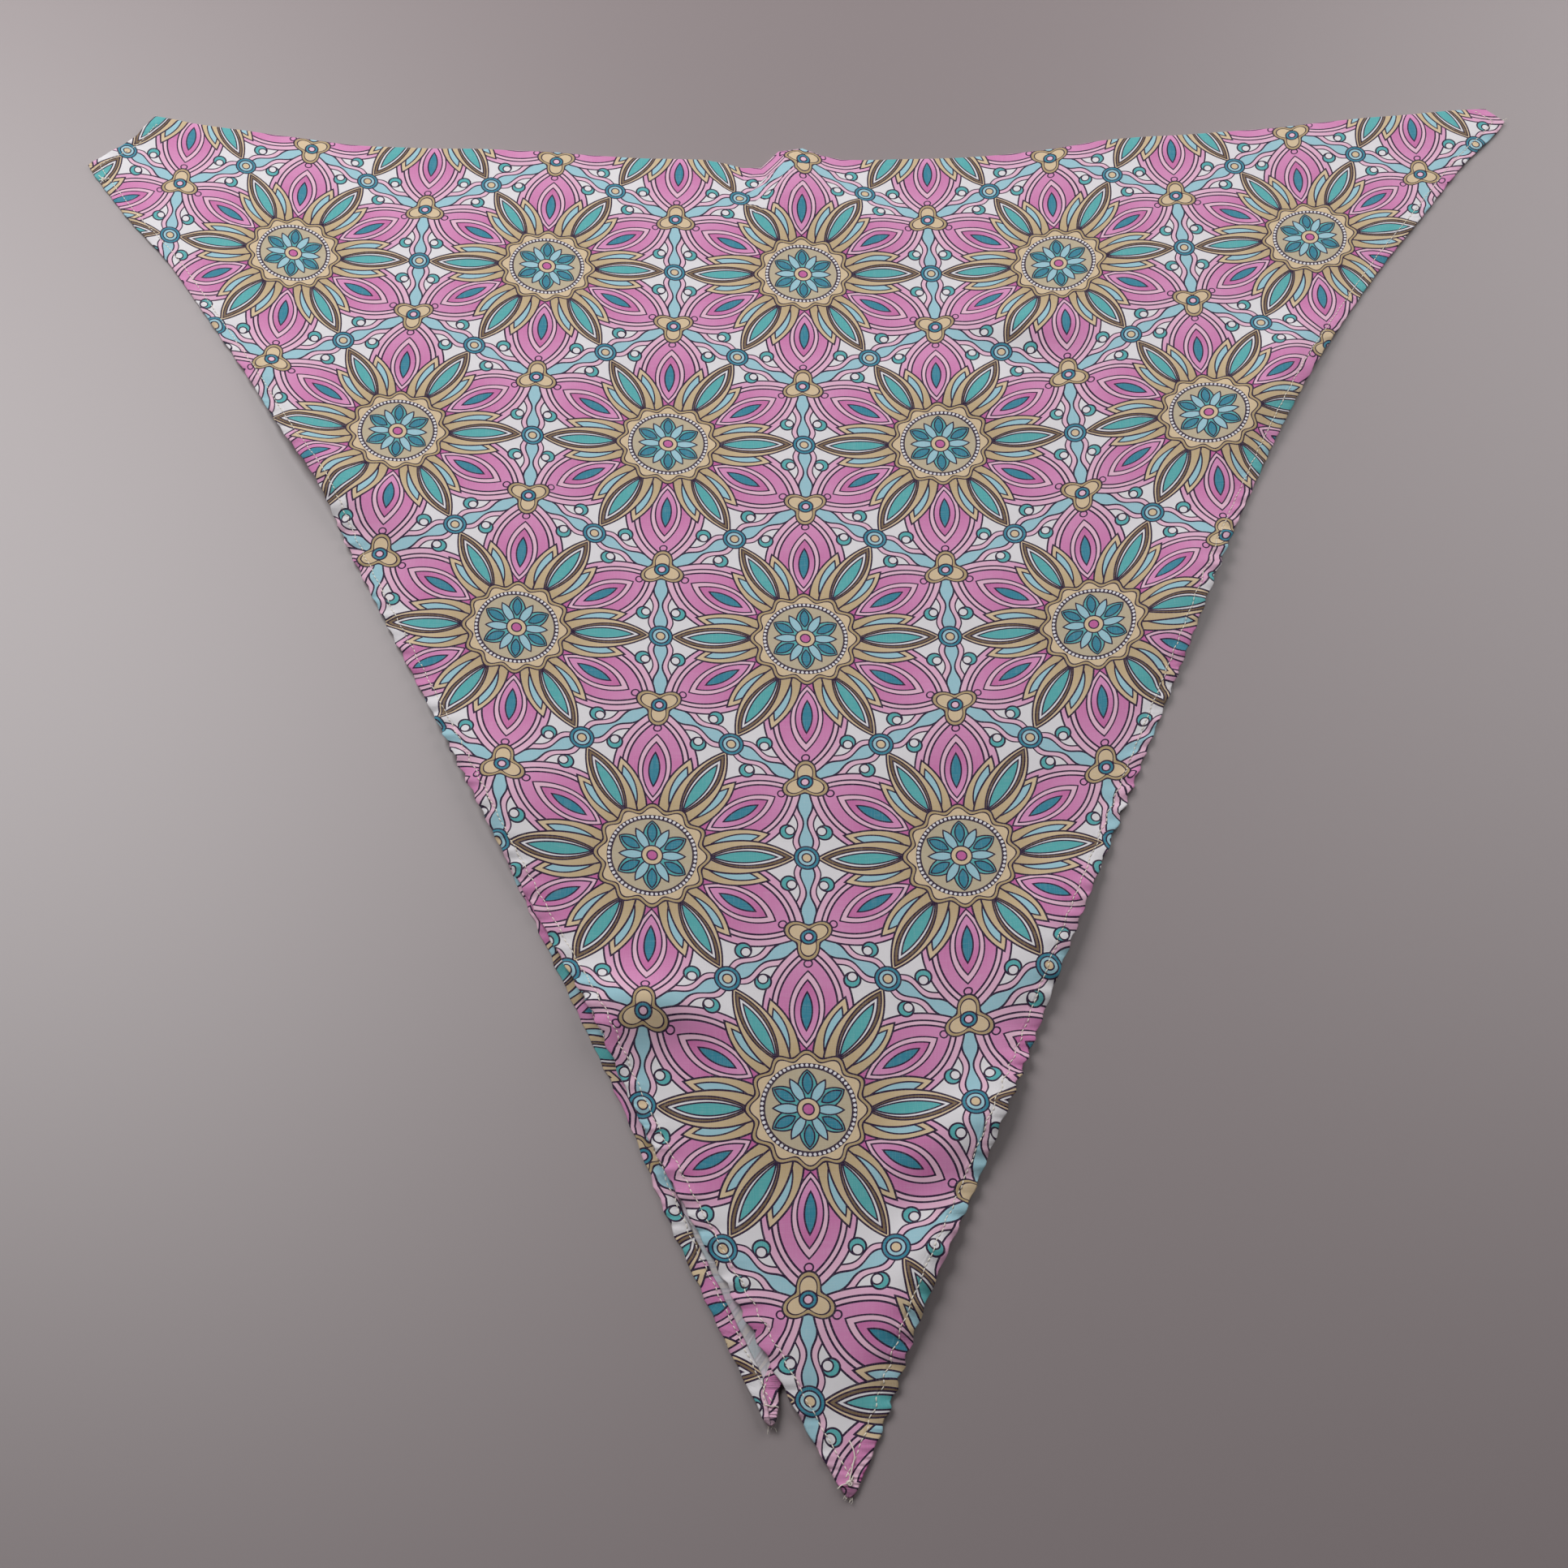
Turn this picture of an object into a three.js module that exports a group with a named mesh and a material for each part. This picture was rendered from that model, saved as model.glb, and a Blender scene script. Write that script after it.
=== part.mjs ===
// A printed cotton headscarf that lies folded in two, its point towards the viewer.
// One sheet of cloth, a rhombus with a narrow turned hem on each of its four sides, is folded along its
// short diagonal. The soft fold lies at the back, and two layers lie on each other in front of it.
// Millimetres, X to the right along the fold, Y back towards the fold, Z up from the surface it lies on.

import * as THREE from "three";

// The outline of the folded scarf
const SPREAD = 857; // left corner to right corner
const DROP = 772; // fold to the tip of the upper layer
const TIP_OVERHANG = 28; // tip of the upper layer past the tip of the under layer
const TIP_FLAT = 3.7; // blunt end of each tip, between the bends of its two hems
const TIP_SHIFT = 15.5; // tip of the upper layer, right of the middle
const UNDER_TIP_SHIFT = -15; // tip of the under layer, left of the middle
const FOLD_BOW = 46; // the middle of the fold dips this far in front of its right end
const PUCKER_DEPTH = 8; // the small notch in the middle of the fold
const PUCKER_REACH = 60; // how far down the sheet the notch is felt
const LEFT_CORNER_REACH = 34; // left corner beyond the end of the fold
const LEFT_CORNER_DROP = 44; // left corner in front of the end of the fold
const RIGHT_CORNER_REACH = 10;
const RIGHT_CORNER_DROP = 9;
const LEFT_HOLLOW = 35; // deepest inward curve of each edge, from a straight line between its ends
const RIGHT_HOLLOW = 46;
const UNDER_LEFT_HOLLOW = 10;
const UNDER_RIGHT_HOLLOW = 40;

// The cloth, its hems and how it lies
const WALL = 1;
const HEM_WIDTH = 7.5;
const HEM_GAP = 0.35; // air inside a turned hem, and between two hems that lie on each other
const LAYER_GAP = 0.8; // air between the layers, away from the hems and the fold
const FOLD_GAP = 3.4; // air inside the soft fold
const HEM_RAMP = 40; // the upper layer comes down from its hems within this width
const FOLD_RAMP = 55; // and from the soft fold within this one
const SOFT_FOLD_HEIGHT = 8; // the highest soft fold

// How finely the sheet is divided
const UPPER_ROWS = 42;
const CORNER_ROWS = 3;
const UNDER_ROWS = 13;
const FOLD_STEPS = 6;
const LAYER_STEPS = 28;
const HEM_BEND_STEPS = 3;
const HEM_STRIP_STEPS = 2;
const SLOPE_STEP = 0.5; // short run over which slopes are measured
const TIP_HEM_SHARE = 0.6; // of the room in half a tip, taken by each turned hem

// The fold seen from above. across: share of SPREAD from the left corner. rise: share of FOLD_BOW.
const FOLD_LINE = [
  { across: 0.0, rise: 0.93 },
  { across: 0.04, rise: 0.82 },
  { across: 0.095, rise: 0.61 },
  { across: 0.14, rise: 0.44 },
  { across: 0.19, rise: 0.29 },
  { across: 0.31, rise: 0.18 },
  { across: 0.4, rise: 0.05 },
  { across: 0.48, rise: 0.0 },
  { across: 0.54, rise: 0.0 },
  { across: 0.61, rise: 0.06 },
  { across: 0.67, rise: 0.19 },
  { across: 0.72, rise: 0.4 },
  { across: 0.83, rise: 0.61 },
  { across: 0.91, rise: 0.84 },
  { across: 1.0, rise: 1.0 },
];

// The notch and the bump beside it. across: share of SPREAD. push: share of PUCKER_DEPTH, backwards.
const FOLD_PUCKER = [
  { across: 0.43, push: 0.0 },
  { across: 0.471, push: -1.0 },
  { across: 0.492, push: 0.65 },
  { across: 0.525, push: 0.1 },
  { across: 0.56, push: 0.0 },
];

// How far each edge curves inward. way: share of the way from its corner to its tip. The rest: shares of its hollow.
const EDGE_CURVES = [
  { way: 0.0, left: 0.0, right: 0.0, underLeft: 0.0, underRight: 0.0 },
  { way: 0.05, left: 0.17, right: 0.28, underLeft: 0.2, underRight: 0.3 },
  { way: 0.1, left: 0.53, right: 0.49, underLeft: 0.4, underRight: 0.55 },
  { way: 0.15, left: 0.7, right: 0.72, underLeft: 0.55, underRight: 0.75 },
  { way: 0.2, left: 0.84, right: 0.88, underLeft: 0.7, underRight: 0.9 },
  { way: 0.25, left: 0.9, right: 0.98, underLeft: 0.85, underRight: 0.97 },
  { way: 0.3, left: 1.0, right: 1.0, underLeft: 1.0, underRight: 1.0 },
  { way: 0.36, left: 0.88, right: 0.97, underLeft: 1.0, underRight: 0.98 },
  { way: 0.5, left: 0.65, right: 0.77, underLeft: 0.95, underRight: 0.8 },
  { way: 0.6, left: 0.48, right: 0.67, underLeft: 0.8, underRight: 0.7 },
  { way: 0.7, left: 0.42, right: 0.52, underLeft: 0.5, underRight: 0.5 },
  { way: 0.8, left: 0.21, right: 0.34, underLeft: 0.55, underRight: 0.35 },
  { way: 0.9, left: 0.11, right: 0.21, underLeft: 0.2, underRight: 0.2 },
  { way: 1.0, left: 0.0, right: 0.0, underLeft: 0.0, underRight: 0.0 },
];

// Soft folds of the upper layer. across: share of SPREAD. down, length, width: shares of DROP.
// turn: degrees from the fold line, anticlockwise. height: share of SOFT_FOLD_HEIGHT.
const SOFT_FOLDS = [
  { across: 0.49, down: 0.03, turn: 85, length: 0.2, width: 0.022, height: 0.75 },
  { across: 0.535, down: 0.07, turn: -55, length: 0.16, width: 0.02, height: 0.5 },
  { across: 0.645, down: 0.18, turn: -18, length: 0.14, width: 0.018, height: 0.4 },
  { across: 0.6, down: 0.24, turn: -40, length: 0.16, width: 0.022, height: 0.3 },
  { across: 0.21, down: 0.34, turn: -38, length: 0.24, width: 0.024, height: 0.7 },
  { across: 0.17, down: 0.27, turn: -60, length: 0.18, width: 0.03, height: 0.45 },
  { across: 0.33, down: 0.58, turn: -62, length: 0.2, width: 0.03, height: 0.55 },
  { across: 0.4, down: 0.73, turn: 28, length: 0.16, width: 0.024, height: 0.8 },
  { across: 0.8, down: 0.27, turn: 55, length: 0.24, width: 0.03, height: 0.7 },
  { across: 0.735, down: 0.44, turn: 62, length: 0.22, width: 0.03, height: 0.6 },
  { across: 0.64, down: 0.68, turn: 66, length: 0.2, width: 0.028, height: 1.0 },
  { across: 0.59, down: 0.8, turn: 35, length: 0.14, width: 0.02, height: 0.55 },
  { across: 0.545, down: 0.9, turn: 60, length: 0.14, width: 0.018, height: 0.6 },
];

const UNDER_DROP = DROP - TIP_OVERHANG;
const HEM_DEPTH = WALL + HEM_GAP; // middle of the cloth to the middle of its turned hem
const HEM_BEND = WALL + HEM_GAP / 2; // outer radius of a hem's bend
const TIP_WIDTH = TIP_FLAT + 2 * HEM_BEND;
const HEM_CLEARANCE = 2 * WALL + 3 * HEM_GAP; // air that two hems need between the layers

// Share of the way from one value to another, held between 0 and 1 and eased at both ends.
function ease(value, from, to) {
  return THREE.MathUtils.smoothstep(value, from, to);
}

// Slope of a table's column at one of its rows, for a curve that never overshoots its points.
function tableSlope(table, key, column, row) {
  if (row === 0 || row === table.length - 1) return 0;
  const before = table[row][key] - table[row - 1][key];
  const after = table[row + 1][key] - table[row][key];
  const rising = (table[row][column] - table[row - 1][column]) / before;
  const leaving = (table[row + 1][column] - table[row][column]) / after;
  if (rising * leaving <= 0) return 0;
  return (2 * rising * leaving) / (rising + leaving);
}

// A table's column as a smooth curve through its rows.
function readTable(table, key, column, at) {
  const place = THREE.MathUtils.clamp(at, table[0][key], table[table.length - 1][key]);
  const next = Math.max(1, table.findIndex((row) => row[key] >= place));
  const [a, b] = [table[next - 1], table[next]];
  const run = b[key] - a[key];
  const s = (place - a[key]) / run;
  const slopeA = tableSlope(table, key, column, next - 1) * run;
  const slopeB = tableSlope(table, key, column, next) * run;
  const startShare = (1 + 2 * s) * (1 - s) ** 2;
  const endShare = s * s * (3 - 2 * s);
  const bend = s * (1 - s) ** 2 * slopeA - s * s * (1 - s) * slopeB;
  return startShare * a[column] + endShare * b[column] + bend;
}

// How far back a thread of the cloth lies that starts at one place across and runs down from the fold.
function threadBack(across, down) {
  const share = across / SPREAD;
  const bow = FOLD_BOW * readTable(FOLD_LINE, "across", "rise", share);
  const pucker = PUCKER_DEPTH * readTable(FOLD_PUCKER, "across", "push", share);
  return bow + pucker * (1 - ease(down, 0, PUCKER_REACH)) - down;
}

function foldLineSlope(across) {
  return (threadBack(across + SLOPE_STEP, 0) - threadBack(across - SLOPE_STEP, 0)) / (2 * SLOPE_STEP);
}

// An edge from its corner to its tip: a straight line with its own inward curve.
function curvedEdge(down, corner, tip, hollow, column) {
  const way = THREE.MathUtils.clamp((down - corner.down) / (tip.down - corner.down), 0, 1);
  const inward = Math.sign(tip.across - corner.across);
  const straight = THREE.MathUtils.lerp(corner.across, tip.across, way);
  return straight + inward * hollow * readTable(EDGE_CURVES, "way", column, way);
}

// Where the edges of the upper layer lie across the scarf, at one distance down from the fold.
function upperLeft(down) {
  const corner = { across: 0, down: LEFT_CORNER_DROP };
  const tip = { across: SPREAD / 2 + TIP_SHIFT - TIP_WIDTH / 2, down: DROP };
  if (down < corner.down) return LEFT_CORNER_REACH * (1 - down / corner.down);
  return curvedEdge(down, corner, tip, LEFT_HOLLOW, "left");
}

function upperRight(down) {
  const corner = { across: SPREAD, down: RIGHT_CORNER_DROP };
  const tip = { across: SPREAD / 2 + TIP_SHIFT + TIP_WIDTH / 2, down: DROP };
  if (down < corner.down) return SPREAD - RIGHT_CORNER_REACH * (1 - down / corner.down);
  return curvedEdge(down, corner, tip, RIGHT_HOLLOW, "right");
}

// The edges of the under layer start at the ends of the fold.
function underLeft(down) {
  const corner = { across: LEFT_CORNER_REACH, down: 0 };
  const tip = { across: SPREAD / 2 + UNDER_TIP_SHIFT - TIP_WIDTH / 2, down: UNDER_DROP };
  return curvedEdge(down, corner, tip, UNDER_LEFT_HOLLOW, "underLeft");
}

function underRight(down) {
  const corner = { across: SPREAD - RIGHT_CORNER_REACH, down: 0 };
  const tip = { across: SPREAD / 2 + UNDER_TIP_SHIFT + TIP_WIDTH / 2, down: UNDER_DROP };
  return curvedEdge(down, corner, tip, UNDER_RIGHT_HOLLOW, "underRight");
}

// How much wider than square-on a row crosses an edge, the wider side of a corner counting.
function edgeLean(edge, down, lowest) {
  const above = (edge(down) - edge(Math.max(0, down - SLOPE_STEP))) / SLOPE_STEP;
  const below = (edge(Math.min(lowest, down + SLOPE_STEP)) - edge(down)) / SLOPE_STEP;
  return Math.hypot(1, Math.max(Math.abs(above), Math.abs(below)));
}

// Height of one soft fold at a point of the upper layer.
function softFoldHeight(fold, across, down) {
  const turn = THREE.MathUtils.degToRad(fold.turn);
  const right = across - fold.across * SPREAD;
  const back = fold.down * DROP - down;
  const along = (right * Math.cos(turn) + back * Math.sin(turn)) / ((fold.length * DROP) / 2);
  const aside = (back * Math.cos(turn) - right * Math.sin(turn)) / (fold.width * DROP);
  if (Math.abs(along) >= 1) return 0;
  return fold.height * SOFT_FOLD_HEIGHT * Math.cos((along * Math.PI) / 2) ** 2 * Math.exp(-aside * aside);
}

// How near a place lies to a layer's hems: 1 over the hem, easing to 0 further in.
function hemNearness(across, left, right) {
  const inward = Math.min(across - left, right - across);
  return 1 - ease(inward, HEM_WIDTH * 2, HEM_WIDTH * 2 + HEM_RAMP);
}

// Air between the two layers: hems and the soft fold hold them apart.
function layerGap(across, down) {
  const upperHem = hemNearness(across, upperLeft(down), upperRight(down));
  const underHem = hemNearness(across, underLeft(down), underRight(down));
  const bothLift = (HEM_CLEARANCE - LAYER_GAP) * upperHem;
  const underLift = (WALL + 2 * HEM_GAP - LAYER_GAP) * underHem;
  const foldLift = (FOLD_GAP - LAYER_GAP) * (1 - ease(down, 0, FOLD_RAMP));
  return LAYER_GAP + Math.max(bothLift, underLift, foldLift);
}

// Height of the middle of the upper layer's cloth. Past the tip of the under layer it comes down.
function upperHeight(across, down) {
  const onUnder = WALL + layerGap(across, down);
  const onFloor = WALL + 2 * HEM_GAP;
  const support = THREE.MathUtils.lerp(onUnder, onFloor, ease(down, UNDER_DROP, DROP));
  const folds = SOFT_FOLDS.reduce((sum, fold) => sum + softFoldHeight(fold, across, down), 0);
  return support + folds + WALL / 2;
}

function upperPlace(across, down) {
  return new THREE.Vector3(across - SPREAD / 2, threadBack(across, down), upperHeight(across, down));
}

// A point of the sheet's middle surface with the direction that its printed side faces.
function upperPoint(across, down) {
  const right = upperPlace(across + SLOPE_STEP, down).sub(upperPlace(across - SLOPE_STEP, down));
  const back = upperPlace(across, down - SLOPE_STEP).sub(upperPlace(across, down + SLOPE_STEP));
  return { at: upperPlace(across, down), facing: right.cross(back).normalize() };
}

function underPoint(across, down) {
  const at = new THREE.Vector3(across - SPREAD / 2, threadBack(across, down), WALL / 2);
  return { at, facing: new THREE.Vector3(0, 0, -1) };
}

// A point on the half turn of the soft fold. turned: 0 at the upper layer, 1 at the under layer.
function foldPoint(across, turned) {
  const top = upperHeight(across, 0);
  const radius = (top - WALL / 2) / 2;
  const back = new THREE.Vector3(-foldLineSlope(across), 1, 0).normalize();
  const angle = turned * Math.PI;
  const facing = back.multiplyScalar(Math.sin(angle)).setZ(Math.cos(angle));
  const centre = new THREE.Vector3(across - SPREAD / 2, threadBack(across, 0), top - radius);
  return { at: centre.addScaledVector(facing, radius), facing };
}

// Distances down from the fold for the rows of the upper layer, with a row at each corner.
function upperDowns() {
  const corners = [RIGHT_CORNER_DROP, LEFT_CORNER_DROP].sort((a, b) => a - b);
  const downs = [corners[0]];
  for (let i = 1; i <= CORNER_ROWS; i++) {
    downs.push(THREE.MathUtils.lerp(corners[0], corners[1], i / CORNER_ROWS));
  }
  for (let i = 1; i <= UPPER_ROWS; i++) {
    downs.push(THREE.MathUtils.lerp(corners[1], DROP, i / UPPER_ROWS));
  }
  return downs;
}

// A row across one layer at one distance down from the fold.
function layerRow(down, leftEdge, rightEdge, lowest, pointAt) {
  return {
    left: leftEdge(down),
    right: rightEdge(down),
    leanLeft: edgeLean(leftEdge, down, lowest),
    leanRight: edgeLean(rightEdge, down, lowest),
    point: (across) => pointAt(across, down),
  };
}

// A row round the soft fold. Its edges turn from those of the upper layer to those of the under layer.
function foldRow(turned) {
  const [upper, under] = [upperRow(0), underRow(0)];
  return {
    left: upper.left,
    right: upper.right,
    leanLeft: THREE.MathUtils.lerp(upper.leanLeft, under.leanLeft, turned),
    leanRight: THREE.MathUtils.lerp(upper.leanRight, under.leanRight, turned),
    point: (across) => foldPoint(across, turned),
  };
}

function upperRow(down) {
  return layerRow(down, upperLeft, upperRight, DROP, upperPoint);
}

function underRow(down) {
  return layerRow(down, underLeft, underRight, UNDER_DROP, underPoint);
}

// Every row of the sheet in order: up the upper layer, round the fold, down the under layer.
function sheetRows() {
  const rows = upperDowns().reverse().map(upperRow);
  for (let i = 0; i <= FOLD_STEPS; i++) {
    rows.push(foldRow(i / FOLD_STEPS));
  }
  for (let i = 1; i <= UNDER_ROWS; i++) {
    rows.push(underRow((UNDER_DROP * i) / UNDER_ROWS));
  }
  return rows;
}

// How far in from the edge a hem's turned strip ends. In a tip the two hems share the width.
function stripReach(lean, halfWidth) {
  const bendIn = HEM_BEND * lean;
  return Math.min(HEM_WIDTH * lean, THREE.MathUtils.lerp(bendIn, halfWidth, TIP_HEM_SHARE));
}

// The two sides of the cloth at one distance in from the edge.
// middle: height of the middle of the cloth. side: 1 where the printed side is up, -1 where it is down.
function flatStep(inward, middle, side) {
  return {
    printed: { in: inward, height: middle + (side * WALL) / 2 },
    plain: { in: inward, height: middle - (side * WALL) / 2 },
  };
}

// The two sides of the cloth on a hem's bend, at one angle from the layer's side of it.
function bendStep(bendIn, lean, angle) {
  const round = (radius) => ({
    in: bendIn - radius * lean * Math.sin(angle),
    height: -HEM_DEPTH / 2 + radius * Math.cos(angle),
  });
  return { printed: round(HEM_BEND), plain: round(HEM_BEND - WALL) };
}

// One hem, from the free end of its turned strip round its bend and back over the strip.
function hemSteps(lean, halfWidth) {
  const bendIn = HEM_BEND * lean;
  const reach = stripReach(lean, halfWidth);
  const strip = [];
  const over = [];
  for (let i = 0; i < HEM_STRIP_STEPS; i++) {
    const inward = THREE.MathUtils.lerp(reach, bendIn, i / HEM_STRIP_STEPS);
    strip.push(flatStep(inward, -HEM_DEPTH, -1));
    over.unshift(flatStep(inward, 0, 1));
  }
  const bend = [];
  for (let i = HEM_BEND_STEPS; i >= 0; i--) {
    bend.push(bendStep(bendIn, lean, (Math.PI * i) / HEM_BEND_STEPS));
  }
  return [...strip, ...bend, ...over];
}

// A row's stations from left to right, each with a point on the printed and on the plain side.
function rowStations(row) {
  const halfWidth = (row.right - row.left) / 2;
  const place = (across, height) => {
    const { at, facing } = row.point(across);
    return at.addScaledVector(facing, height);
  };
  const station = ({ printed, plain }, edge, inwards) => ({
    printed: place(edge + inwards * printed.in, printed.height),
    plain: place(edge + inwards * plain.in, plain.height),
  });
  const leftHem = hemSteps(row.leanLeft, halfWidth).map((step) => station(step, row.left, 1));
  const rightHem = hemSteps(row.leanRight, halfWidth).map((step) => station(step, row.right, -1));
  const start = row.left + stripReach(row.leanLeft, halfWidth);
  const end = row.right - stripReach(row.leanRight, halfWidth);
  const middle = [];
  for (let i = 1; i < LAYER_STEPS; i++) {
    const across = THREE.MathUtils.lerp(start, end, i / LAYER_STEPS);
    middle.push(station(flatStep(across, 0, 1), 0, 1));
  }
  return [...leftHem, ...middle, ...rightHem.reverse()];
}

// Joins the stations of all rows into one closed skin: printed side, plain side and the rim between them.
function sheetGeometry() {
  const grid = sheetRows().map(rowStations);
  const lastRow = grid.length - 1;
  const last = grid[0].length - 1;
  const positions = [];
  grid.flat().forEach(({ printed, plain }) => positions.push(...printed.toArray(), ...plain.toArray()));
  const printed = (row, station) => 2 * (row * (last + 1) + station);
  const plain = (row, station) => printed(row, station) + 1;
  const index = [];
  const quad = (a, b, c, d) => index.push(a, b, c, a, c, d);
  for (let row = 0; row < lastRow; row++) {
    const next = row + 1;
    for (let s = 0; s < last; s++) {
      quad(printed(row, s), printed(row, s + 1), printed(next, s + 1), printed(next, s));
      quad(plain(row, s), plain(next, s), plain(next, s + 1), plain(row, s + 1));
    }
    quad(printed(row, 0), printed(next, 0), plain(next, 0), plain(row, 0));
    quad(printed(next, last), printed(row, last), plain(row, last), plain(next, last));
  }
  for (let s = 0; s < last; s++) {
    quad(printed(0, s + 1), printed(0, s), plain(0, s), plain(0, s + 1));
    quad(printed(lastRow, s), printed(lastRow, s + 1), plain(lastRow, s + 1), plain(lastRow, s));
  }
  const geometry = new THREE.BufferGeometry();
  geometry.setAttribute("position", new THREE.Float32BufferAttribute(positions, 3));
  geometry.setIndex(index);
  return geometry;
}

// The origin is the middle of the scarf's footprint, on the surface that it lies on.
function centreOnFloor(geometry) {
  geometry.computeBoundingBox();
  const box = geometry.boundingBox;
  const middle = box.getCenter(new THREE.Vector3());
  geometry.translate(-middle.x, -middle.y, -box.min.z);
  return geometry;
}

const scarf = new THREE.Mesh(
  centreOnFloor(sheetGeometry()),
  new THREE.MeshStandardMaterial({ color: 0xd9a9c4, roughness: 0.9, metalness: 0 }),
);
scarf.name = "scarf_cloth";

const headscarf = new THREE.Group();
headscarf.add(scarf);

export default headscarf;
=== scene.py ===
"""A printed cotton headscarf that lies folded in two on a pale surface.

Metres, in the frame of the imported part: X to the right along the fold, Y back towards the fold, Z up.
"""

import math
import random

import bpy
import numpy as np
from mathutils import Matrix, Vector


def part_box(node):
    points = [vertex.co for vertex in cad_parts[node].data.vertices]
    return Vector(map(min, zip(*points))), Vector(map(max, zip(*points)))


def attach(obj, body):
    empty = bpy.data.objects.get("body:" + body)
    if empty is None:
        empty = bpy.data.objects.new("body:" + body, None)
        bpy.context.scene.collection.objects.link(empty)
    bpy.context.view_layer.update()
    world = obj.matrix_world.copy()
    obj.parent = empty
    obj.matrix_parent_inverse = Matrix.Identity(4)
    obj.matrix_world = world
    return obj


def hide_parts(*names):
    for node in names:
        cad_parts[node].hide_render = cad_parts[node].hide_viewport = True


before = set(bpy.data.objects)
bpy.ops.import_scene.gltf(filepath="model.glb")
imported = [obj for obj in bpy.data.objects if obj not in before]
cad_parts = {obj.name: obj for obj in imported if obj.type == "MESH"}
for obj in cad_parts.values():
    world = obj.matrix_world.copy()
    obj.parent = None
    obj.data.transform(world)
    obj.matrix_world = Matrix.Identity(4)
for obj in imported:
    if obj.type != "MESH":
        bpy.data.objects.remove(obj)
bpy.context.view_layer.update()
CAD_NODE = "scarf_cloth"

# The outline of the folded scarf, as in the part's source
SPREAD = 0.857
DROP = 0.772
TIP_OVERHANG = 0.028
TIP_WIDTH = 0.0026
TIP_SHIFT = 0.0155
UNDER_TIP_SHIFT = -0.0165
FOLD_BOW = 0.046
PUCKER_DEPTH = 0.008
PUCKER_REACH = 0.060
LEFT_CORNER_REACH = 0.034
LEFT_CORNER_DROP = 0.044
LEFT_CORNER_HOLLOW = 0.003
RIGHT_CORNER_REACH = 0.010
RIGHT_CORNER_DROP = 0.009
LEFT_HOLLOW = 0.035
RIGHT_HOLLOW = 0.046
UNDER_LEFT_HOLLOW = 0.010
UNDER_RIGHT_HOLLOW = 0.040
UNDER_DROP = DROP - TIP_OVERHANG

# How the upper layer lies: the heights of the middle of its cloth. It is thinner than the solid's walls,
# so it lies lower at the hems and at the fold.
UPPER_REST = 0.0027
HEM_LIFT = 0.0013
FOLD_LIFT = 0.0005
FLOOR_REST = 0.0018
SETTLE_REACH = 0.020  # beyond the under layer, it comes down to the floor over this length
HEM_WIDTH = 0.0075
HEM_RAMP = 0.020
FOLD_RAMP = 0.055
SOFT_FOLD_HEIGHT = 0.010

# The cloth itself
CLOTH = 0.00035
HEM_DEPTH = 0.00075  # middle of the cloth to the middle of its turned hem
HEM_BEND = HEM_DEPTH / 2
TIP_HEM_SHARE = 0.97
TIP_CALM = 0.035  # the puckers fade over this length towards a tip
FOLD_RUN = 0.0046  # cloth that goes round the soft fold
TIP_ROUND = 0.0035  # length over which a tip's end rounds off
TIP_END_WIDTH = 0.0008
UNDER_TIP_TURN = 0.0065  # how far the under tip's right side is turned in
UNDER_TIP_TURN_REACH = (0.09, 0.018)  # it starts and is widest this far from the tip
UNDER_TIP_LIFT = 0.0022
UNDER_TIP_LIFT_REACH = 0.03

# The sewing thread
THREAD_RADIUS = 0.00025
LOOSE_THREAD_RADIUS = 0.00026
STITCH_PITCH = 0.0026
STITCH_LENGTH = 0.00185
STITCH_INSET = 0.0058
STITCH_RISE = 0.00016
STITCH_INSET_MOST = 1.3  # where the edge bends in, the line moves in by up to this share
STITCH_INSET_LEAST = 0.95  # and it leaves out places that are nearer to the rim than this share
HEMS_APART = 0.002  # it ends where the other hem is this near
LINE_STEP = 0.0004
TIP_MARGIN = 0.004
STITCH_LENGTHS = (0.85, 1.12)  # shortest and longest stitch, as shares of STITCH_LENGTH
STITCH_STEPS = (0.96, 1.04)  # smallest and largest step to the next one, as shares of STITCH_PITCH
STITCH_SIDEWAYS = 0.00012
STITCH_POINTS = 5
LEFT_STITCHES_FROM = 0.004
RIGHT_STITCHES_FROM = 0.001
UNDER_SHOWS_FROM = 0.50  # the under layer's left hem shows from here down
UNDER_TIP_SHOWS = 0.06  # length of its right hem that shows above its tip

# How finely the sheet is divided
UPPER_ROWS = 312
CORNER_ROWS = 14
UNDER_HIDDEN_ROWS = 14
UNDER_ROWS = 44
TIP_ROWS = 4
FOLD_STEPS = 8
LAYER_STEPS = 100
EDGE_CROWDING = 0.5  # spacing of the stations beside the hems, as a share of the even spacing
HEM_BEND_STEPS = 4
HEM_STRIP_STEPS = 3
SLOPE_STEP = 0.0005

# The fold seen from above. across: share of SPREAD. rise: share of FOLD_BOW.
FOLD_LINE = {
    "across": [0.0, 0.04, 0.095, 0.14, 0.19, 0.31, 0.4, 0.48, 0.54, 0.61, 0.67, 0.72, 0.83, 0.91, 1.0],
    "rise": [0.93, 0.82, 0.61, 0.44, 0.29, 0.18, 0.05, 0.0, 0.0, 0.06, 0.19, 0.4, 0.61, 0.84, 1.0],
}

# The notch in the fold and the bump beside it. push: share of PUCKER_DEPTH, backwards.
FOLD_PUCKER = {
    "across": [0.43, 0.471, 0.492, 0.525, 0.56],
    "push": [0.0, -1.0, 0.65, 0.1, 0.0],
}

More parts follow.
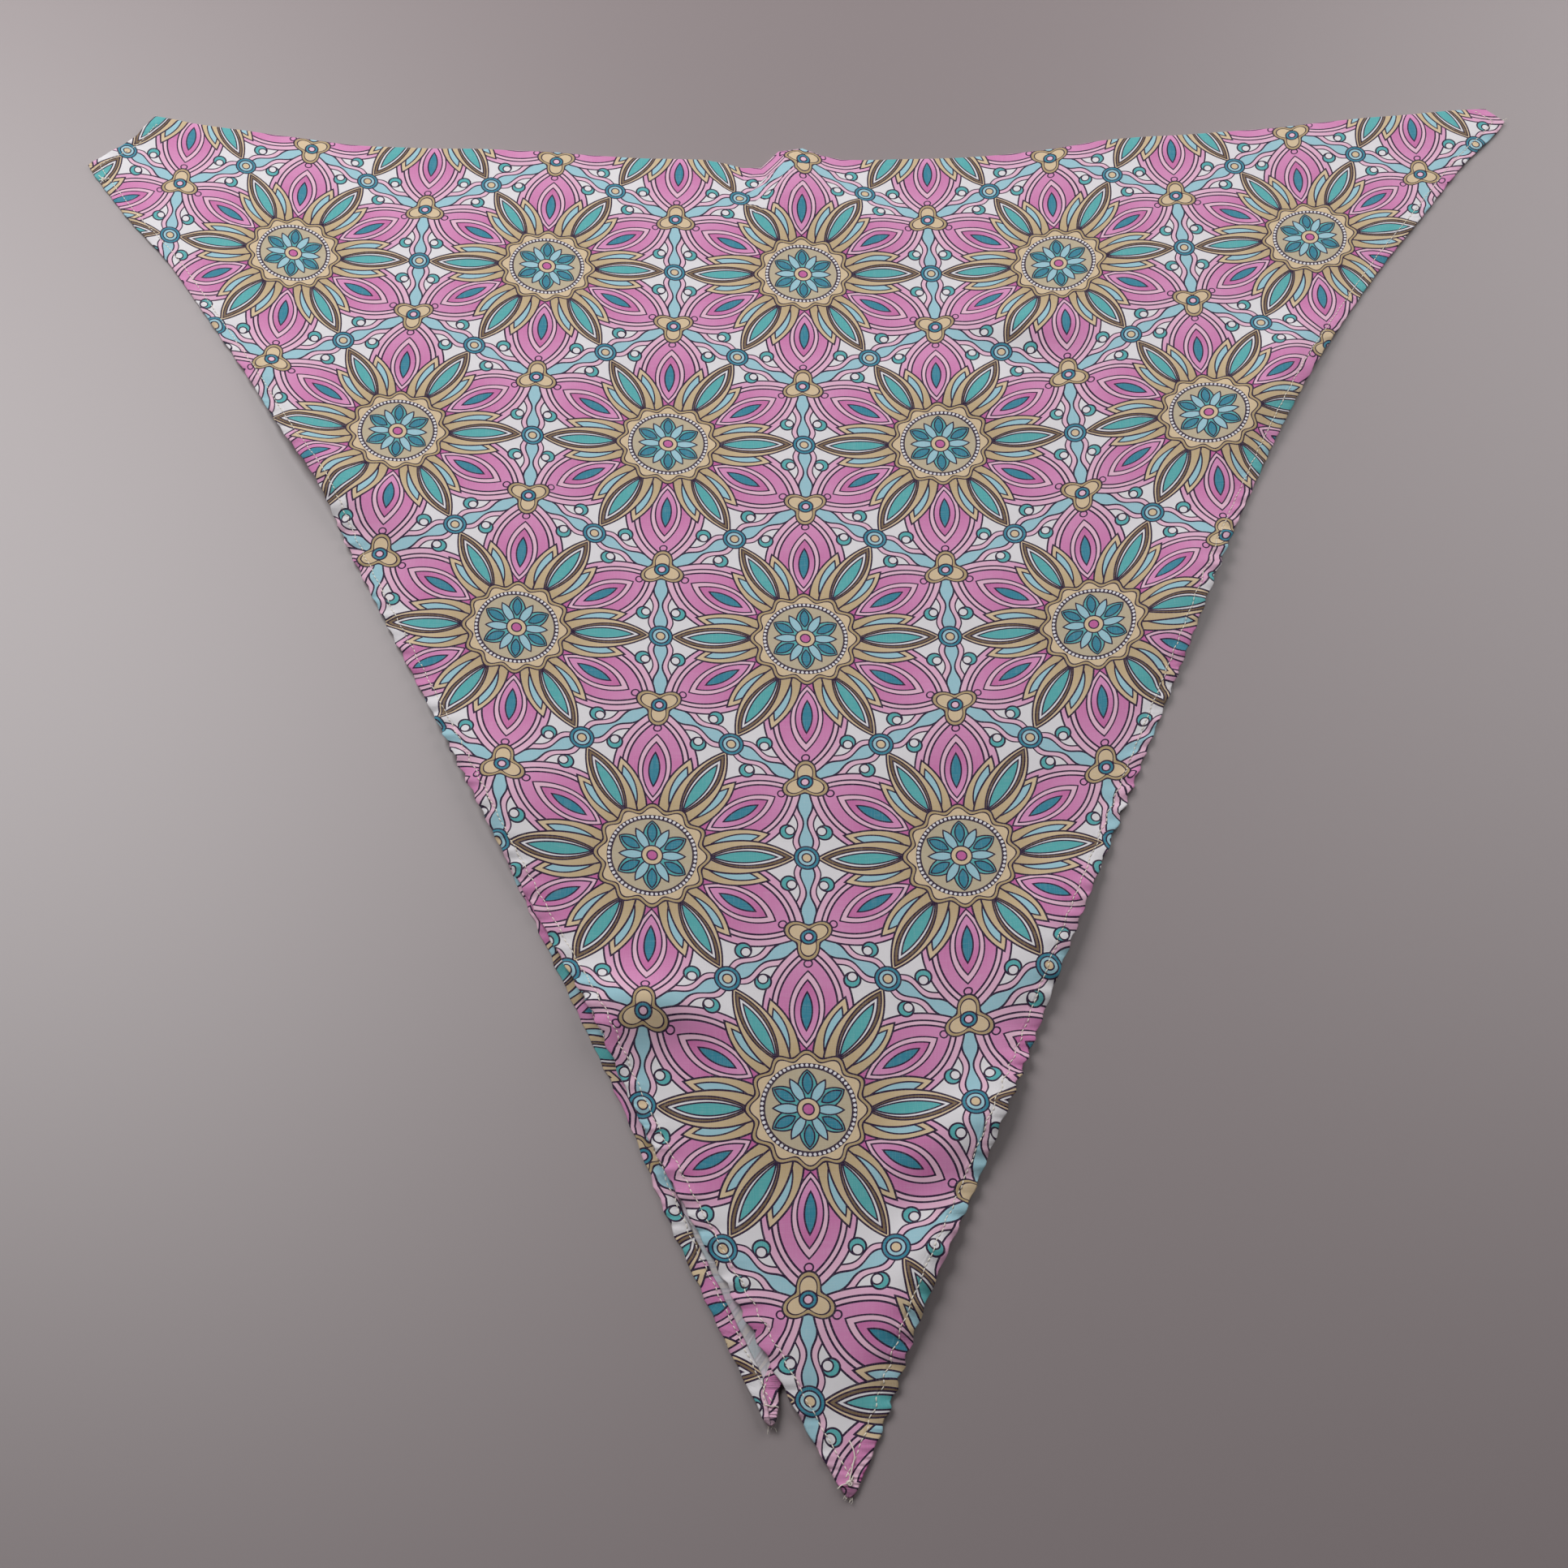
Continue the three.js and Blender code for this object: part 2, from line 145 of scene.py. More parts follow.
# How far each edge curves inward, from its corner (way 0) to its tip (way 1), in shares of its hollow.
EDGE_CURVES = {
    "way": [0.0, 0.05, 0.1, 0.15, 0.2, 0.25, 0.3, 0.36, 0.5, 0.6, 0.7, 0.8, 0.9, 1.0],
    "left": [0.0, 0.17, 0.53, 0.7, 0.84, 0.9, 1.0, 0.88, 0.65, 0.48, 0.42, 0.19, 0.075, 0.0],
    "right": [0.0, 0.28, 0.49, 0.72, 0.88, 0.98, 1.0, 0.97, 0.77, 0.67, 0.52, 0.34, 0.21, 0.0],
    "under_left": [0.0, 0.2, 0.4, 0.55, 0.7, 0.85, 1.0, 1.0, 0.95, 0.8, 0.5, 0.5, 0.05, 0.0],
    "under_right": [0.0, 0.3, 0.55, 0.75, 0.9, 0.97, 1.0, 0.98, 0.8, 0.7, 0.5, 0.35, 0.2, 0.0],
}

# Soft folds of the upper layer. down, length and width: shares of DROP. turn: degrees, anticlockwise.
SOFT_FOLDS = [
    {"across": 0.49, "down": 0.03, "turn": 85, "length": 0.2, "width": 0.022, "height": 0.75},
    {"across": 0.535, "down": 0.07, "turn": -55, "length": 0.16, "width": 0.02, "height": 0.5},
    {"across": 0.645, "down": 0.18, "turn": -18, "length": 0.14, "width": 0.018, "height": 0.4},
    {"across": 0.6, "down": 0.24, "turn": -40, "length": 0.16, "width": 0.022, "height": 0.3},
    {"across": 0.21, "down": 0.34, "turn": -38, "length": 0.24, "width": 0.024, "height": 0.7},
    {"across": 0.17, "down": 0.27, "turn": -60, "length": 0.18, "width": 0.03, "height": 0.45},
    {"across": 0.33, "down": 0.58, "turn": -62, "length": 0.2, "width": 0.03, "height": 0.55},
    {"across": 0.4, "down": 0.73, "turn": 28, "length": 0.16, "width": 0.024, "height": 0.8},
    {"across": 0.8, "down": 0.27, "turn": 55, "length": 0.24, "width": 0.03, "height": 0.7},
    {"across": 0.735, "down": 0.44, "turn": 62, "length": 0.22, "width": 0.03, "height": 0.6},
    {"across": 0.632, "down": 0.68, "turn": 66, "length": 0.2, "width": 0.028, "height": 0.8},
    {"across": 0.59, "down": 0.8, "turn": 35, "length": 0.14, "width": 0.02, "height": 0.55},
    {"across": 0.545, "down": 0.9, "turn": 60, "length": 0.14, "width": 0.018, "height": 0.6},
    {"across": 0.413, "down": 0.72, "turn": -12, "length": 0.17, "width": 0.014, "height": 0.32},
    {"across": 0.582, "down": 0.789, "turn": 34, "length": 0.2, "width": 0.02, "height": 0.4},
    {"across": 0.558, "down": 0.866, "turn": 40, "length": 0.16, "width": 0.018, "height": 0.4},
]

# The camera, at the photograph's place and angle
CAMERA_PLACE = (-0.0109, -0.5879, 0.8499)
CAMERA_LOOK = (0.0, 0.5188, -0.8549)
CAMERA_LENS = 46.58
CAMERA_SENSOR = 36.0

# Relief finer than the solid's: the cloth never lies quite flat, and its sewn hems pucker
WAVE_COUNT = 26
WAVE_LENGTHS = (0.030, 0.170)
WAVE_STEEPNESS = 0.032
PUCKER_PITCH = 0.0102
PUCKER_HEIGHT = 0.0012
PUCKER_SWAY = 0.0011
UNDER_PUCKER_HEIGHT = 0.0004
PUCKER_FADE = 0.010
TOP_PUCKER_SHARE = 0.4  # the hems pucker less towards the corners
PUCKER_GROWTH = (0.12, 0.42)  # and reach their full puckers between these distances down
TIP_PUCKER_SHARE = 0.25
PUCKER_STEADY = 0.62  # share of the puckers that never comes and goes
PUCKER_BEATS = (71, 23)  # paces at which the rest does, in radians for each metre
PUCKER_DRIFTS = ((1.7, 37, 1), (1.1, 90, 3))  # radians of drift, pace, and multiple of the phase
PUCKER_PHASE_STEP = 1.3  # from the left hem to the right one
UPPER_PUCKER_PHASE = 0.4
UPPER_SWAY_PHASE = 2.1
UNDER_PUCKER_PHASE = 5.0

# Loose threads: (right, back, height over the cloth) of their points, in millimetres from the upper tip,
# from the under tip and from the left corner
TIP_THREADS = [
    [(0.3, 22.5, -0.1), (1.6, 19.5, 0.5), (2.3, 16.1, 0.3), (1.5, 12.5, 0.5), (0.6, 8.8, 0.4),
     (-0.6, 4.6, 0.2)],
    [(-4.8, 3.2, 0.3), (-3.2, 4.6, 0.4), (-1.2, 5.2, 0.7), (0.9, 6.8, 0.3), (1.6, 8.4, 0.2)],
    [(-1.3, 5.6, 0.2), (-0.6, 6.3, 0.7), (0.3, 5.7, 0.9), (-0.1, 4.9, 0.6), (-0.9, 5.0, 0.3),
     (-0.5, 6.0, 0.5)],
    [(0.4, 6.4, 0.1), (1.0, 5.2, 0.5), (0.2, 4.4, 0.6), (-0.7, 5.6, 0.9), (0.5, 6.3, 0.8)],
]
UNDER_TIP_THREADS = [
    [(-3.5, 8.0, 0.1), (-1.7, 8.4, 0.4), (0.3, 7.7, 0.5), (2.1, 7.8, 0.3), (3.4, 7.3, 0.0)],
]
CORNER_THREADS = [
    [(8.0, -9.0, 0.0), (9.6, -10.8, 0.5), (11.4, -12.0, 0.4), (13.0, -13.4, 0.0)],
    [(10.0, -12.4, 0.1), (10.9, -11.4, 0.8), (12.0, -12.2, 0.9), (11.4, -13.2, 0.7), (10.4, -12.8, 0.4)],
    [(12.2, -11.2, 0.1), (11.0, -12.0, 0.8), (10.8, -13.4, 0.5), (11.9, -14.2, 0.2)],
    [(9.0, -12.6, 0.1), (10.6, -13.2, 0.5), (12.4, -12.6, 0.6), (14.2, -11.6, 0.1)],
]
FRAY_COUNT = 9
FRAY_RADIUS = 0.00008
FRAY_SIDES = 4
FRAY_LENGTHS = (0.0012, 0.0036)
FRAY_FAN = 45  # degrees to each side
FRAY_SLOPES = (-0.25, 0.1)
FRAY_CURL = 0.3
FRAY_RIGHT = (-0.0016, 0.0016)  # where the fibres start, from the end of the cloth
FRAY_BACK = (-0.0008, 0.0016)

# The print. Its lengths are shares of PRINT_PITCH, the distance between two neighbouring flowers.
PRINT_PITCH = 0.148
LINE = 0.0062
FINE_LINE = 0.005
CELL_CORNER = 1 / math.sqrt(3)
ROW_STEP = math.sqrt(3) / 2
FIRST_ROW = 0.093  # the first row of flowers lies this far down from the fold, in metres

# The finest relief along the hems, in metres
FINE_PUCKER_PITCH = 0.0079
FINE_PUCKER_HEIGHT = 0.00016
FINE_PUCKER_FADE = 0.0062
FINE_DRIFT_LENGTH = 0.016
FINE_DRIFT = 9
FINE_LEAN = 0.9
GROOVE_WIDTH = 0.0009
GROOVE_DEPTH = 0.00022
HEM_RIDGE = 0.00018

# The weave, in metres
WEAVE_PITCH = 0.00062
WEAVE_DEPTH = 0.000036
SLUB_DEPTH = 0.000072
THREAD_WIDTH = 0.00045
SLUB_LENGTH = 0.009
SLUB_SHARE = 0.22

# Dyes, in sRGB
PINK_PALE = (0.93, 0.755, 0.84)
PINK = (0.88, 0.585, 0.77)
PINK_DEEP = (0.79, 0.395, 0.64)
WHITE = (0.915, 0.9, 0.915)
SAND = (0.87, 0.775, 0.635)
TAN = (0.735, 0.64, 0.475)
STONE = (0.77, 0.715, 0.61)
BROWN = (0.50, 0.41, 0.30)
AQUA = (0.635, 0.805, 0.855)
TURQUOISE = (0.36, 0.70, 0.71)
TEAL = (0.22, 0.54, 0.63)
PLUM = (0.165, 0.065, 0.21)
REVERSE_GROUND = (0.86, 0.85, 0.87)
THREAD_COLOUR = (0.96, 0.93, 0.88)

# The backdrop and the lights. Each light: name, place, target and power in watts.
FLOOR_COLOUR = (0.26, 0.212, 0.218)
FLOOR_ROUGHNESS = 0.5
FLOOR_IOR = 1.95
FLOOR_SIZE = 12
FLOOR_BELOW = 0.0002
LIGHT_SIZE = 1.6
LIGHTS = [
    ("key", (-1.1, 1.0, 1.5), (-0.3, 0.4, 0), 35.5),
    ("right", (1.1, 1.0, 1.0), (0.3, 0.4, 0), 14.5),
]
WORLD_COLOUR = (1, 0.98, 0.97)
WORLD_STRENGTH = 0.04


def ease(value, start, end):
    """Share of the way from start to end, held between 0 and 1 and eased at both."""
    share = np.clip((value - start) / (end - start), 0, 1)
    return share * share * (3 - 2 * share)


def mix(a, b, share):
    return a + (b - a) * share


def curve_through(table, key, column):
    """A table's column as a smooth curve through its rows, which never overshoots them."""
    at = np.array(table[key])
    value = np.array(table[column])
    run = np.diff(at)
    rise = np.diff(value) / run
    turning = rise[:-1] * rise[1:] <= 0
    both = np.where(turning, 1, rise[:-1] + rise[1:])
    slope = np.zeros(len(at))
    slope[1:-1] = np.where(turning, 0, 2 * rise[:-1] * rise[1:] / both)

    def read(place):
        place = np.clip(place, at[0], at[-1])
        i = np.clip(np.searchsorted(at, place) - 1, 0, len(run) - 1)
        s = (place - at[i]) / run[i]
        ends = (1 + 2 * s) * (1 - s) ** 2 * value[i] + s * s * (3 - 2 * s) * value[i + 1]
        return ends + run[i] * (s * (1 - s) ** 2 * slope[i] - s * s * (1 - s) * slope[i + 1])

    return read


fold_rise = curve_through(FOLD_LINE, "across", "rise")
fold_push = curve_through(FOLD_PUCKER, "across", "push")
edge_curve = {name: curve_through(EDGE_CURVES, "way", name) for name in EDGE_CURVES if name != "way"}


def add_camera():
    data = bpy.data.cameras.new("camera")
    data.lens = CAMERA_LENS
    data.sensor_width = CAMERA_SENSOR
    camera = bpy.data.objects.new("camera", data)
    bpy.context.scene.collection.objects.link(camera)
    camera.location = CAMERA_PLACE
    camera.rotation_euler = Vector(CAMERA_LOOK).to_track_quat("-Z", "Y").to_euler()
    bpy.context.scene.camera = camera


def thread_back(across, down):
    """How far back a thread of the cloth lies that starts at one place across and runs down."""
    share = across / SPREAD
    pucker = PUCKER_DEPTH * fold_push(share) * (1 - ease(down, 0, PUCKER_REACH))
    return FOLD_BOW * fold_rise(share) + pucker - down


def curved_edge(down, corner, tip, hollow, name):
    """An edge from its (across, down) corner to its tip: a straight line with its own inward curve."""
    way = np.clip((down - corner[1]) / (tip[1] - corner[1]), 0, 1)
    inward = math.copysign(hollow, tip[0] - corner[0])
    return mix(corner[0], tip[0], way) + inward * edge_curve[name](way)


def tip_rounding(down, lowest):
    """How far each edge draws in at the end of a tip."""
    past = np.clip((down - lowest + TIP_ROUND) / TIP_ROUND, 0, 1)
    return (TIP_WIDTH - TIP_END_WIDTH) / 2 * (1 - np.sqrt(1 - past * past))


def upper_left(down):
    tip = (SPREAD / 2 + TIP_SHIFT - TIP_WIDTH / 2, DROP)
    below = curved_edge(down, (0, LEFT_CORNER_DROP), tip, LEFT_HOLLOW, "left") + tip_rounding(down, DROP)
    way = np.clip(down / LEFT_CORNER_DROP, 0, 1)
    above = LEFT_CORNER_REACH * (1 - way) + LEFT_CORNER_HOLLOW * np.sin(way * math.pi) ** 2
    return np.where(down < LEFT_CORNER_DROP, above, below)


def upper_right(down):
    tip = (SPREAD / 2 + TIP_SHIFT + TIP_WIDTH / 2, DROP)
    below = curved_edge(down, (SPREAD, RIGHT_CORNER_DROP), tip, RIGHT_HOLLOW, "right")
    below = below - tip_rounding(down, DROP)
    above = SPREAD - RIGHT_CORNER_REACH * (1 - down / RIGHT_CORNER_DROP)
    return np.where(down < RIGHT_CORNER_DROP, above, below)


def under_left(down):
    tip = (SPREAD / 2 + UNDER_TIP_SHIFT - TIP_WIDTH / 2, UNDER_DROP)
    straight = curved_edge(down, (LEFT_CORNER_REACH, 0), tip, UNDER_LEFT_HOLLOW, "under_left")
    return straight + tip_rounding(down, UNDER_DROP)


def under_right(down):
    tip = (SPREAD / 2 + UNDER_TIP_SHIFT + TIP_WIDTH / 2, UNDER_DROP)
    corner = (SPREAD - RIGHT_CORNER_REACH, 0)
    straight = curved_edge(down, corner, tip, UNDER_RIGHT_HOLLOW, "under_right")
    start, full = (UNDER_DROP - reach for reach in UNDER_TIP_TURN_REACH)
    turned_in = UNDER_TIP_TURN * ease(down, start, full) * (1 - ease(down, full, UNDER_DROP))
    return straight - turned_in - tip_rounding(down, UNDER_DROP)


def soft_folds(across, down):
    """Height that the soft folds add at each point of the upper layer."""
    height = 0
    for fold in SOFT_FOLDS:
        turn = math.radians(fold["turn"])
        right = across - fold["across"] * SPREAD
        back = fold["down"] * DROP - down
        along = (right * math.cos(turn) + back * math.sin(turn)) / (fold["length"] * DROP / 2)
        aside = (back * math.cos(turn) - right * math.sin(turn)) / (fold["width"] * DROP)
        crest = np.where(np.abs(along) < 1, np.cos(along * math.pi / 2) ** 2, 0)
        height = height + fold["height"] * SOFT_FOLD_HEIGHT * crest * np.exp(-aside * aside)
    return height


def draw_waves():
    """Directions, lengths and phases of the long shallow waves that the cloth lies in."""
    rng = random.Random(11)
    waves = []
    for _ in range(WAVE_COUNT):
        length = WAVE_LENGTHS[0] * (WAVE_LENGTHS[1] / WAVE_LENGTHS[0]) ** rng.random()
        angle = rng.uniform(0, math.pi)
        waves.append((2 * math.pi / length, angle, rng.uniform(0, 2 * math.pi)))
    return waves


waves = draw_waves()


def shallow_waves(across, down):
    height = 0
    for pace, angle, phase in waves:
        steep = WAVE_STEEPNESS / math.sqrt(WAVE_COUNT)
        along = across * math.cos(angle) + down * math.sin(angle)
        height = height + steep / pace * np.sin(pace * along + phase)
    return height


def hem_pucker(across, down, left, right, lowest, phase):
    """Share of the full pucker, from -1 to 1, that the sewn hems raise at each place."""
    calm = mix(TOP_PUCKER_SHARE, 1, ease(down, *PUCKER_GROWTH))
    calm = calm * mix(1, TIP_PUCKER_SHARE, ease(down, lowest - TIP_CALM, lowest))
    strength = 0
    for inward in (across - left, right - across):
        quick, slow = (np.sin(down * pace + (i + 1) * phase) for i, pace in enumerate(PUCKER_BEATS))
        beat = calm * mix(quick * slow, 1, PUCKER_STEADY)
        drift = sum(turn * np.sin(down * pace + many * phase) for turn, pace, many in PUCKER_DRIFTS)
        wave = np.sin(2 * math.pi * down / PUCKER_PITCH + drift + inward / PUCKER_FADE)
        strength = strength + beat * wave * np.exp(-((inward / PUCKER_FADE) ** 2))
        phase = phase + PUCKER_PHASE_STEP
    return strength


def upper_height(across, down):
    """Height of the middle of the upper layer's cloth, on the under layer and beyond it on the floor."""
    left, right = upper_left(down), upper_right(down)
    on_hem = 1 - ease(across - left, HEM_WIDTH, HEM_WIDTH + HEM_RAMP)
    on_under = UPPER_REST + HEM_LIFT * on_hem + FOLD_LIFT * (1 - ease(down, 0, FOLD_RAMP))
    beyond = np.maximum(under_left(down) - across, across - under_right(down))
    settled = np.maximum(ease(beyond, 0, SETTLE_REACH), ease(down, UNDER_DROP, DROP))
    relief = soft_folds(across, down) + shallow_waves(across, down)
    relief = relief + PUCKER_HEIGHT * hem_pucker(across, down, left, right, DROP, UPPER_PUCKER_PHASE)
    return np.maximum(mix(on_under, FLOOR_REST, settled) + relief, HEM_DEPTH + CLOTH / 2)


def upper_place(across, down):
    pucker = hem_pucker(across, down, upper_left(down), upper_right(down), DROP, UPPER_SWAY_PHASE)
    right = across - SPREAD / 2 + PUCKER_SWAY * pucker
    return np.stack([right, thread_back(across, down), upper_height(across, down)], -1)


def under_place(across, down):
    left, right = under_left(down), under_right(down)
    pucker = hem_pucker(across, down, left, right, UNDER_DROP, UNDER_PUCKER_PHASE)
    height = CLOTH / 2 + UNDER_PUCKER_HEIGHT * (1 + pucker) * ease(down, 0, FOLD_RAMP)
    height = height + UNDER_TIP_LIFT * ease(down, UNDER_DROP - UNDER_TIP_LIFT_REACH, UNDER_DROP)
    return np.stack([across - SPREAD / 2 + PUCKER_SWAY * pucker, thread_back(across, down), height], -1)


def facing_of(place_at, across, down, side):
    """Direction that the printed side faces: side is 1 where it is up, -1 where it is down."""
    right = place_at(across + SLOPE_STEP, down) - place_at(across - SLOPE_STEP, down)
    back = place_at(across, down - SLOPE_STEP) - place_at(across, down + SLOPE_STEP)
    normal = np.cross(right, back)
    return side * normal / np.linalg.norm(normal, axis=-1, keepdims=True)


def edge_slope(edge, down, lowest):
    """How far an edge runs across for each step down."""
    low = np.minimum(down + SLOPE_STEP, lowest)
    high = np.maximum(down - SLOPE_STEP, 0)
    return (edge(low) - edge(high)) / (low - high)


def hem_steps():
    """One hem, from the free end of its turned strip round the bend and back over the strip.

    Each step: share of the strip's reach, share of the bend's depth, height, distance along the cloth.
    """
    steps = []
    for i in range(HEM_STRIP_STEPS):
        steps.append((1 - i / HEM_STRIP_STEPS, 1, -HEM_DEPTH, -1))
    for i in range(HEM_BEND_STEPS + 1):
        angle = math.pi * (1 - i / HEM_BEND_STEPS)
        height = -HEM_BEND + HEM_BEND * math.cos(angle)
        steps.append((0, 1 - math.sin(angle), height, 1 - 2 * angle / math.pi))
    for i in range(HEM_STRIP_STEPS):
        steps.append(((i + 1) / HEM_STRIP_STEPS, 1, 0, 1))
    return steps


def crowded_shares(count, crowding):
    """Shares of the way across a row, closer together at both ends."""
    s = np.arange(1, count) / count
    return s - (1 - crowding) * np.sin(2 * math.pi * s) / (2 * math.pi)


def grid_of(left, right, slope_left, slope_right, down):
    """Across, height, flat place and hem place of every station of a block of rows.

    left, right, slopes and down hold one number for each row. Flat places are where the points lie on
    the sheet before it is hemmed and folded, with the distance down the sheet counted from the fold.
    Hem places are how far in from the nearer hem a point lies, and how far along it.
    """
    half = (right - left) / 2
    columns = []
    for edge, slope, inward in ((left, slope_left, 1), (right, slope_right, -1)):
        lean = np.hypot(1, slope)
        bend_in = HEM_BEND * lean
        reach = np.minimum(HEM_WIDTH * lean, mix(bend_in, half, TIP_HEM_SHARE))
        side = []
        for strip_share, bend_share, height, way in hem_steps():
            if strip_share > 0:
                along = mix(bend_in, reach, strip_share)
                run = np.sign(way) * along / lean
            else:
                along = bend_in * bend_share
                run = way * HEM_BEND
            # On the flat sheet the strip is mirrored over the edge, which leans away from the thread
            across = edge + inward * (along * slope * slope / lean**2 + run / lean)
            shift = inward * (along - run * lean) * slope / lean**2
            height_here = np.full_like(edge, height)
            place = (edge + inward * along, height_here)
            side.append((*place, across, down + shift, along / lean, down * lean))
        if inward < 0:
            side.reverse()
        columns.append(side)
    start = columns[0][-1][0]
    end = columns[1][0][0]
    middle = []
    for share in crowded_shares(LAYER_STEPS, EDGE_CROWDING):
        across = mix(start, end, share)
        lean = np.hypot(1, slope_left if share < 0.5 else slope_right)
        inward = np.minimum(across - left, right - across) / lean
        middle.append((across, np.zeros_like(across), across, down, inward, down * lean))
    stations = columns[0] + middle + columns[1]
    return [np.stack([station[part] for station in stations], -1) for part in range(6)]


def layer_block(downs, left_edge, right_edge, lowest, place_at, side):
    down = np.asarray(downs)
    slopes = [edge_slope(edge, down, lowest) for edge in (left_edge, right_edge)]
    across, height, flat_u, flat_v, *hem = grid_of(left_edge(down), right_edge(down), *slopes, down)
    rows = np.broadcast_to(down[:, None], across.shape)
    facing = facing_of(place_at, across, rows, side)
    points = place_at(across, rows) + facing * height[..., None]
    around_fold = 0 if side > 0 else FOLD_RUN
    return points, flat_u, around_fold - flat_v * side, *hem


def fold_block():
    """The soft fold: a half turn from the upper layer to the under layer."""
    turned = np.arange(FOLD_STEPS + 1) / FOLD_STEPS
    down = np.zeros_like(turned)
    slopes = []
    for upper, under in ((upper_left, under_left), (upper_right, under_right)):
        ends = [edge_slope(edge, down, DROP) for edge in (upper, under)]
        slopes.append(mix(ends[0], ends[1], turned))
    across, height, flat_u, _, *hem = grid_of(upper_left(down), upper_right(down), *slopes, down)
    top = upper_height(across, np.zeros_like(across))
    radius = (top - CLOTH / 2) / 2
    lean = (thread_back(across + SLOPE_STEP, 0) - thread_back(across - SLOPE_STEP, 0)) / (2 * SLOPE_STEP)
    angle = (turned * math.pi)[:, None]
    back = np.stack([-lean, np.ones_like(lean), np.zeros_like(lean)], -1)
    back /= np.linalg.norm(back, axis=-1, keepdims=True)
    facing = back * np.sin(angle)[..., None]
    facing[..., 2] = np.cos(angle)
    centre = np.stack([across - SPREAD / 2, thread_back(across, 0), top - radius], -1)
    points = centre + facing * (radius + height)[..., None]
    return points, flat_u, radius * angle, *hem


def tip_downs(lowest):
    """Rows that are crowded towards a tip's very end, where it rounds off."""
    return list(lowest - TIP_ROUND * (1 - np.sin(np.linspace(0, math.pi / 2, TIP_ROWS + 1))))


def upper_downs():
    rows = list(np.linspace(RIGHT_CORNER_DROP, LEFT_CORNER_DROP, CORNER_ROWS + 1))
    rows += list(np.linspace(LEFT_CORNER_DROP, DROP - TIP_ROUND, UPPER_ROWS + 1)[1:-1])
    rows += tip_downs(DROP)
    return rows[::-1]


def under_downs():
    rows = list(np.linspace(0, UNDER_SHOWS_FROM, UNDER_HIDDEN_ROWS + 1)[1:-1])
    rows += list(np.linspace(UNDER_SHOWS_FROM, UNDER_DROP - TIP_ROUND, UNDER_ROWS + 1)[:-1])
    return rows + tip_downs(UNDER_DROP)


def sheet_blocks():
    return [
        layer_block(upper_downs(), upper_left, upper_right, DROP, upper_place, 1),
        fold_block(),
        layer_block(under_downs(), under_left, under_right, UNDER_DROP, under_place, -1),
    ]


def grid_mesh(name, points, flat, hem):
    """A mesh of quads over a grid of points, with its flat place and its hem place as UV maps in metres."""
    rows, columns = points.shape[:2]
    index = np.arange(rows * columns).reshape(rows, columns)
    quads = np.stack([index[:-1, :-1], index[:-1, 1:], index[1:, 1:], index[1:, :-1]], -1).reshape(-1, 4)
    mesh = bpy.data.meshes.new(name)
    mesh.from_pydata(points.reshape(-1, 3).tolist(), [], quads.tolist())
    corners = np.zeros(len(mesh.loops), np.int32)
    mesh.loops.foreach_get("vertex_index", corners)
    for map_name, places in (("cloth", flat), ("hem", hem)):
        layer = mesh.uv_layers.new(name=map_name)
        layer.data.foreach_set("uv", places.reshape(-1, 2)[corners].ravel())
    mesh.shade_smooth()
    return mesh


def centred(points):
    """Moves the points so that their box has the same middle and floor as the solid's."""
    low, high = (np.array(corner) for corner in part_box(CAD_NODE))
    rows = points.reshape(-1, 3)
    shift = (low + high - rows.min(0) - rows.max(0)) / 2
    shift[2] = 0
    return points + shift, shift


def make_cloth(materials):
    blocks = sheet_blocks()
    points, *places = [np.concatenate(parts) for parts in zip(*blocks)]
    points, shift = centred(points)
    mesh = grid_mesh("headscarf_cloth", points, np.stack(places[:2], -1), np.stack(places[2:], -1))
    for material in materials:
        mesh.materials.append(material)
    cloth = bpy.data.objects.new("headscarf_cloth", mesh)
    bpy.context.scene.collection.objects.link(cloth)
    thicken(cloth)
    return cloth, shift


def thicken(cloth):
    modifier = cloth.modifiers.new("thickness", "SOLIDIFY")
    modifier.thickness = CLOTH
    modifier.offset = 0
    modifier.use_even_offset = False
    modifier.material_offset = 1
    modifier.material_offset_rim = 1
    bpy.context.view_layer.objects.active = cloth
    cloth.select_set(True)
    bpy.ops.object.modifier_apply(modifier=modifier.name)
    cloth.select_set(False)


def hem_stitch_line(edge, inward, other_edge, lowest, first, place_at, lift):
    """Points and facings of the line of stitches along one hem, laid on the cloth's visible side."""
    down = np.arange(first, lowest - TIP_MARGIN, LINE_STEP)
    lean = np.hypot(1, edge_slope(edge, down, lowest))
    rim = np.stack([edge(down), thread_back(edge(down), down)], -1)

    def gap_to_rim(across):
        flat = np.stack([across, thread_back(across, down)], -1)
        return np.array([np.hypot(*(rim - point).T).min() for point in flat])

    inset = STITCH_INSET * lean
    inset = inset * np.clip(STITCH_INSET / gap_to_rim(edge(down) + inward * inset), 1, STITCH_INSET_MOST)
    across = edge(down) + inward * inset
    clear_of_rim = gap_to_rim(across) > STITCH_INSET_LEAST * STITCH_INSET
    keep = clear_of_rim & (inward * (other_edge(down) - across) > HEMS_APART)
    across, down = across[keep], down[keep]
    facing = facing_of(place_at, across, down, 1)
    return place_at(across, down) + lift * facing, facing


def along_line(points, facings):
    """A function from a distance along a line of points to the point and the facing there."""
    steps = np.linalg.norm(np.diff(points, axis=0), axis=1)
    run = np.concatenate([[0], np.cumsum(steps)])

    def read(rows, distance):
        return np.stack([np.interp(distance, run, rows[:, i]) for i in range(3)], -1)

    def at(distance):
        return read(points, distance), read(facings, distance)

    return at, run[-1]


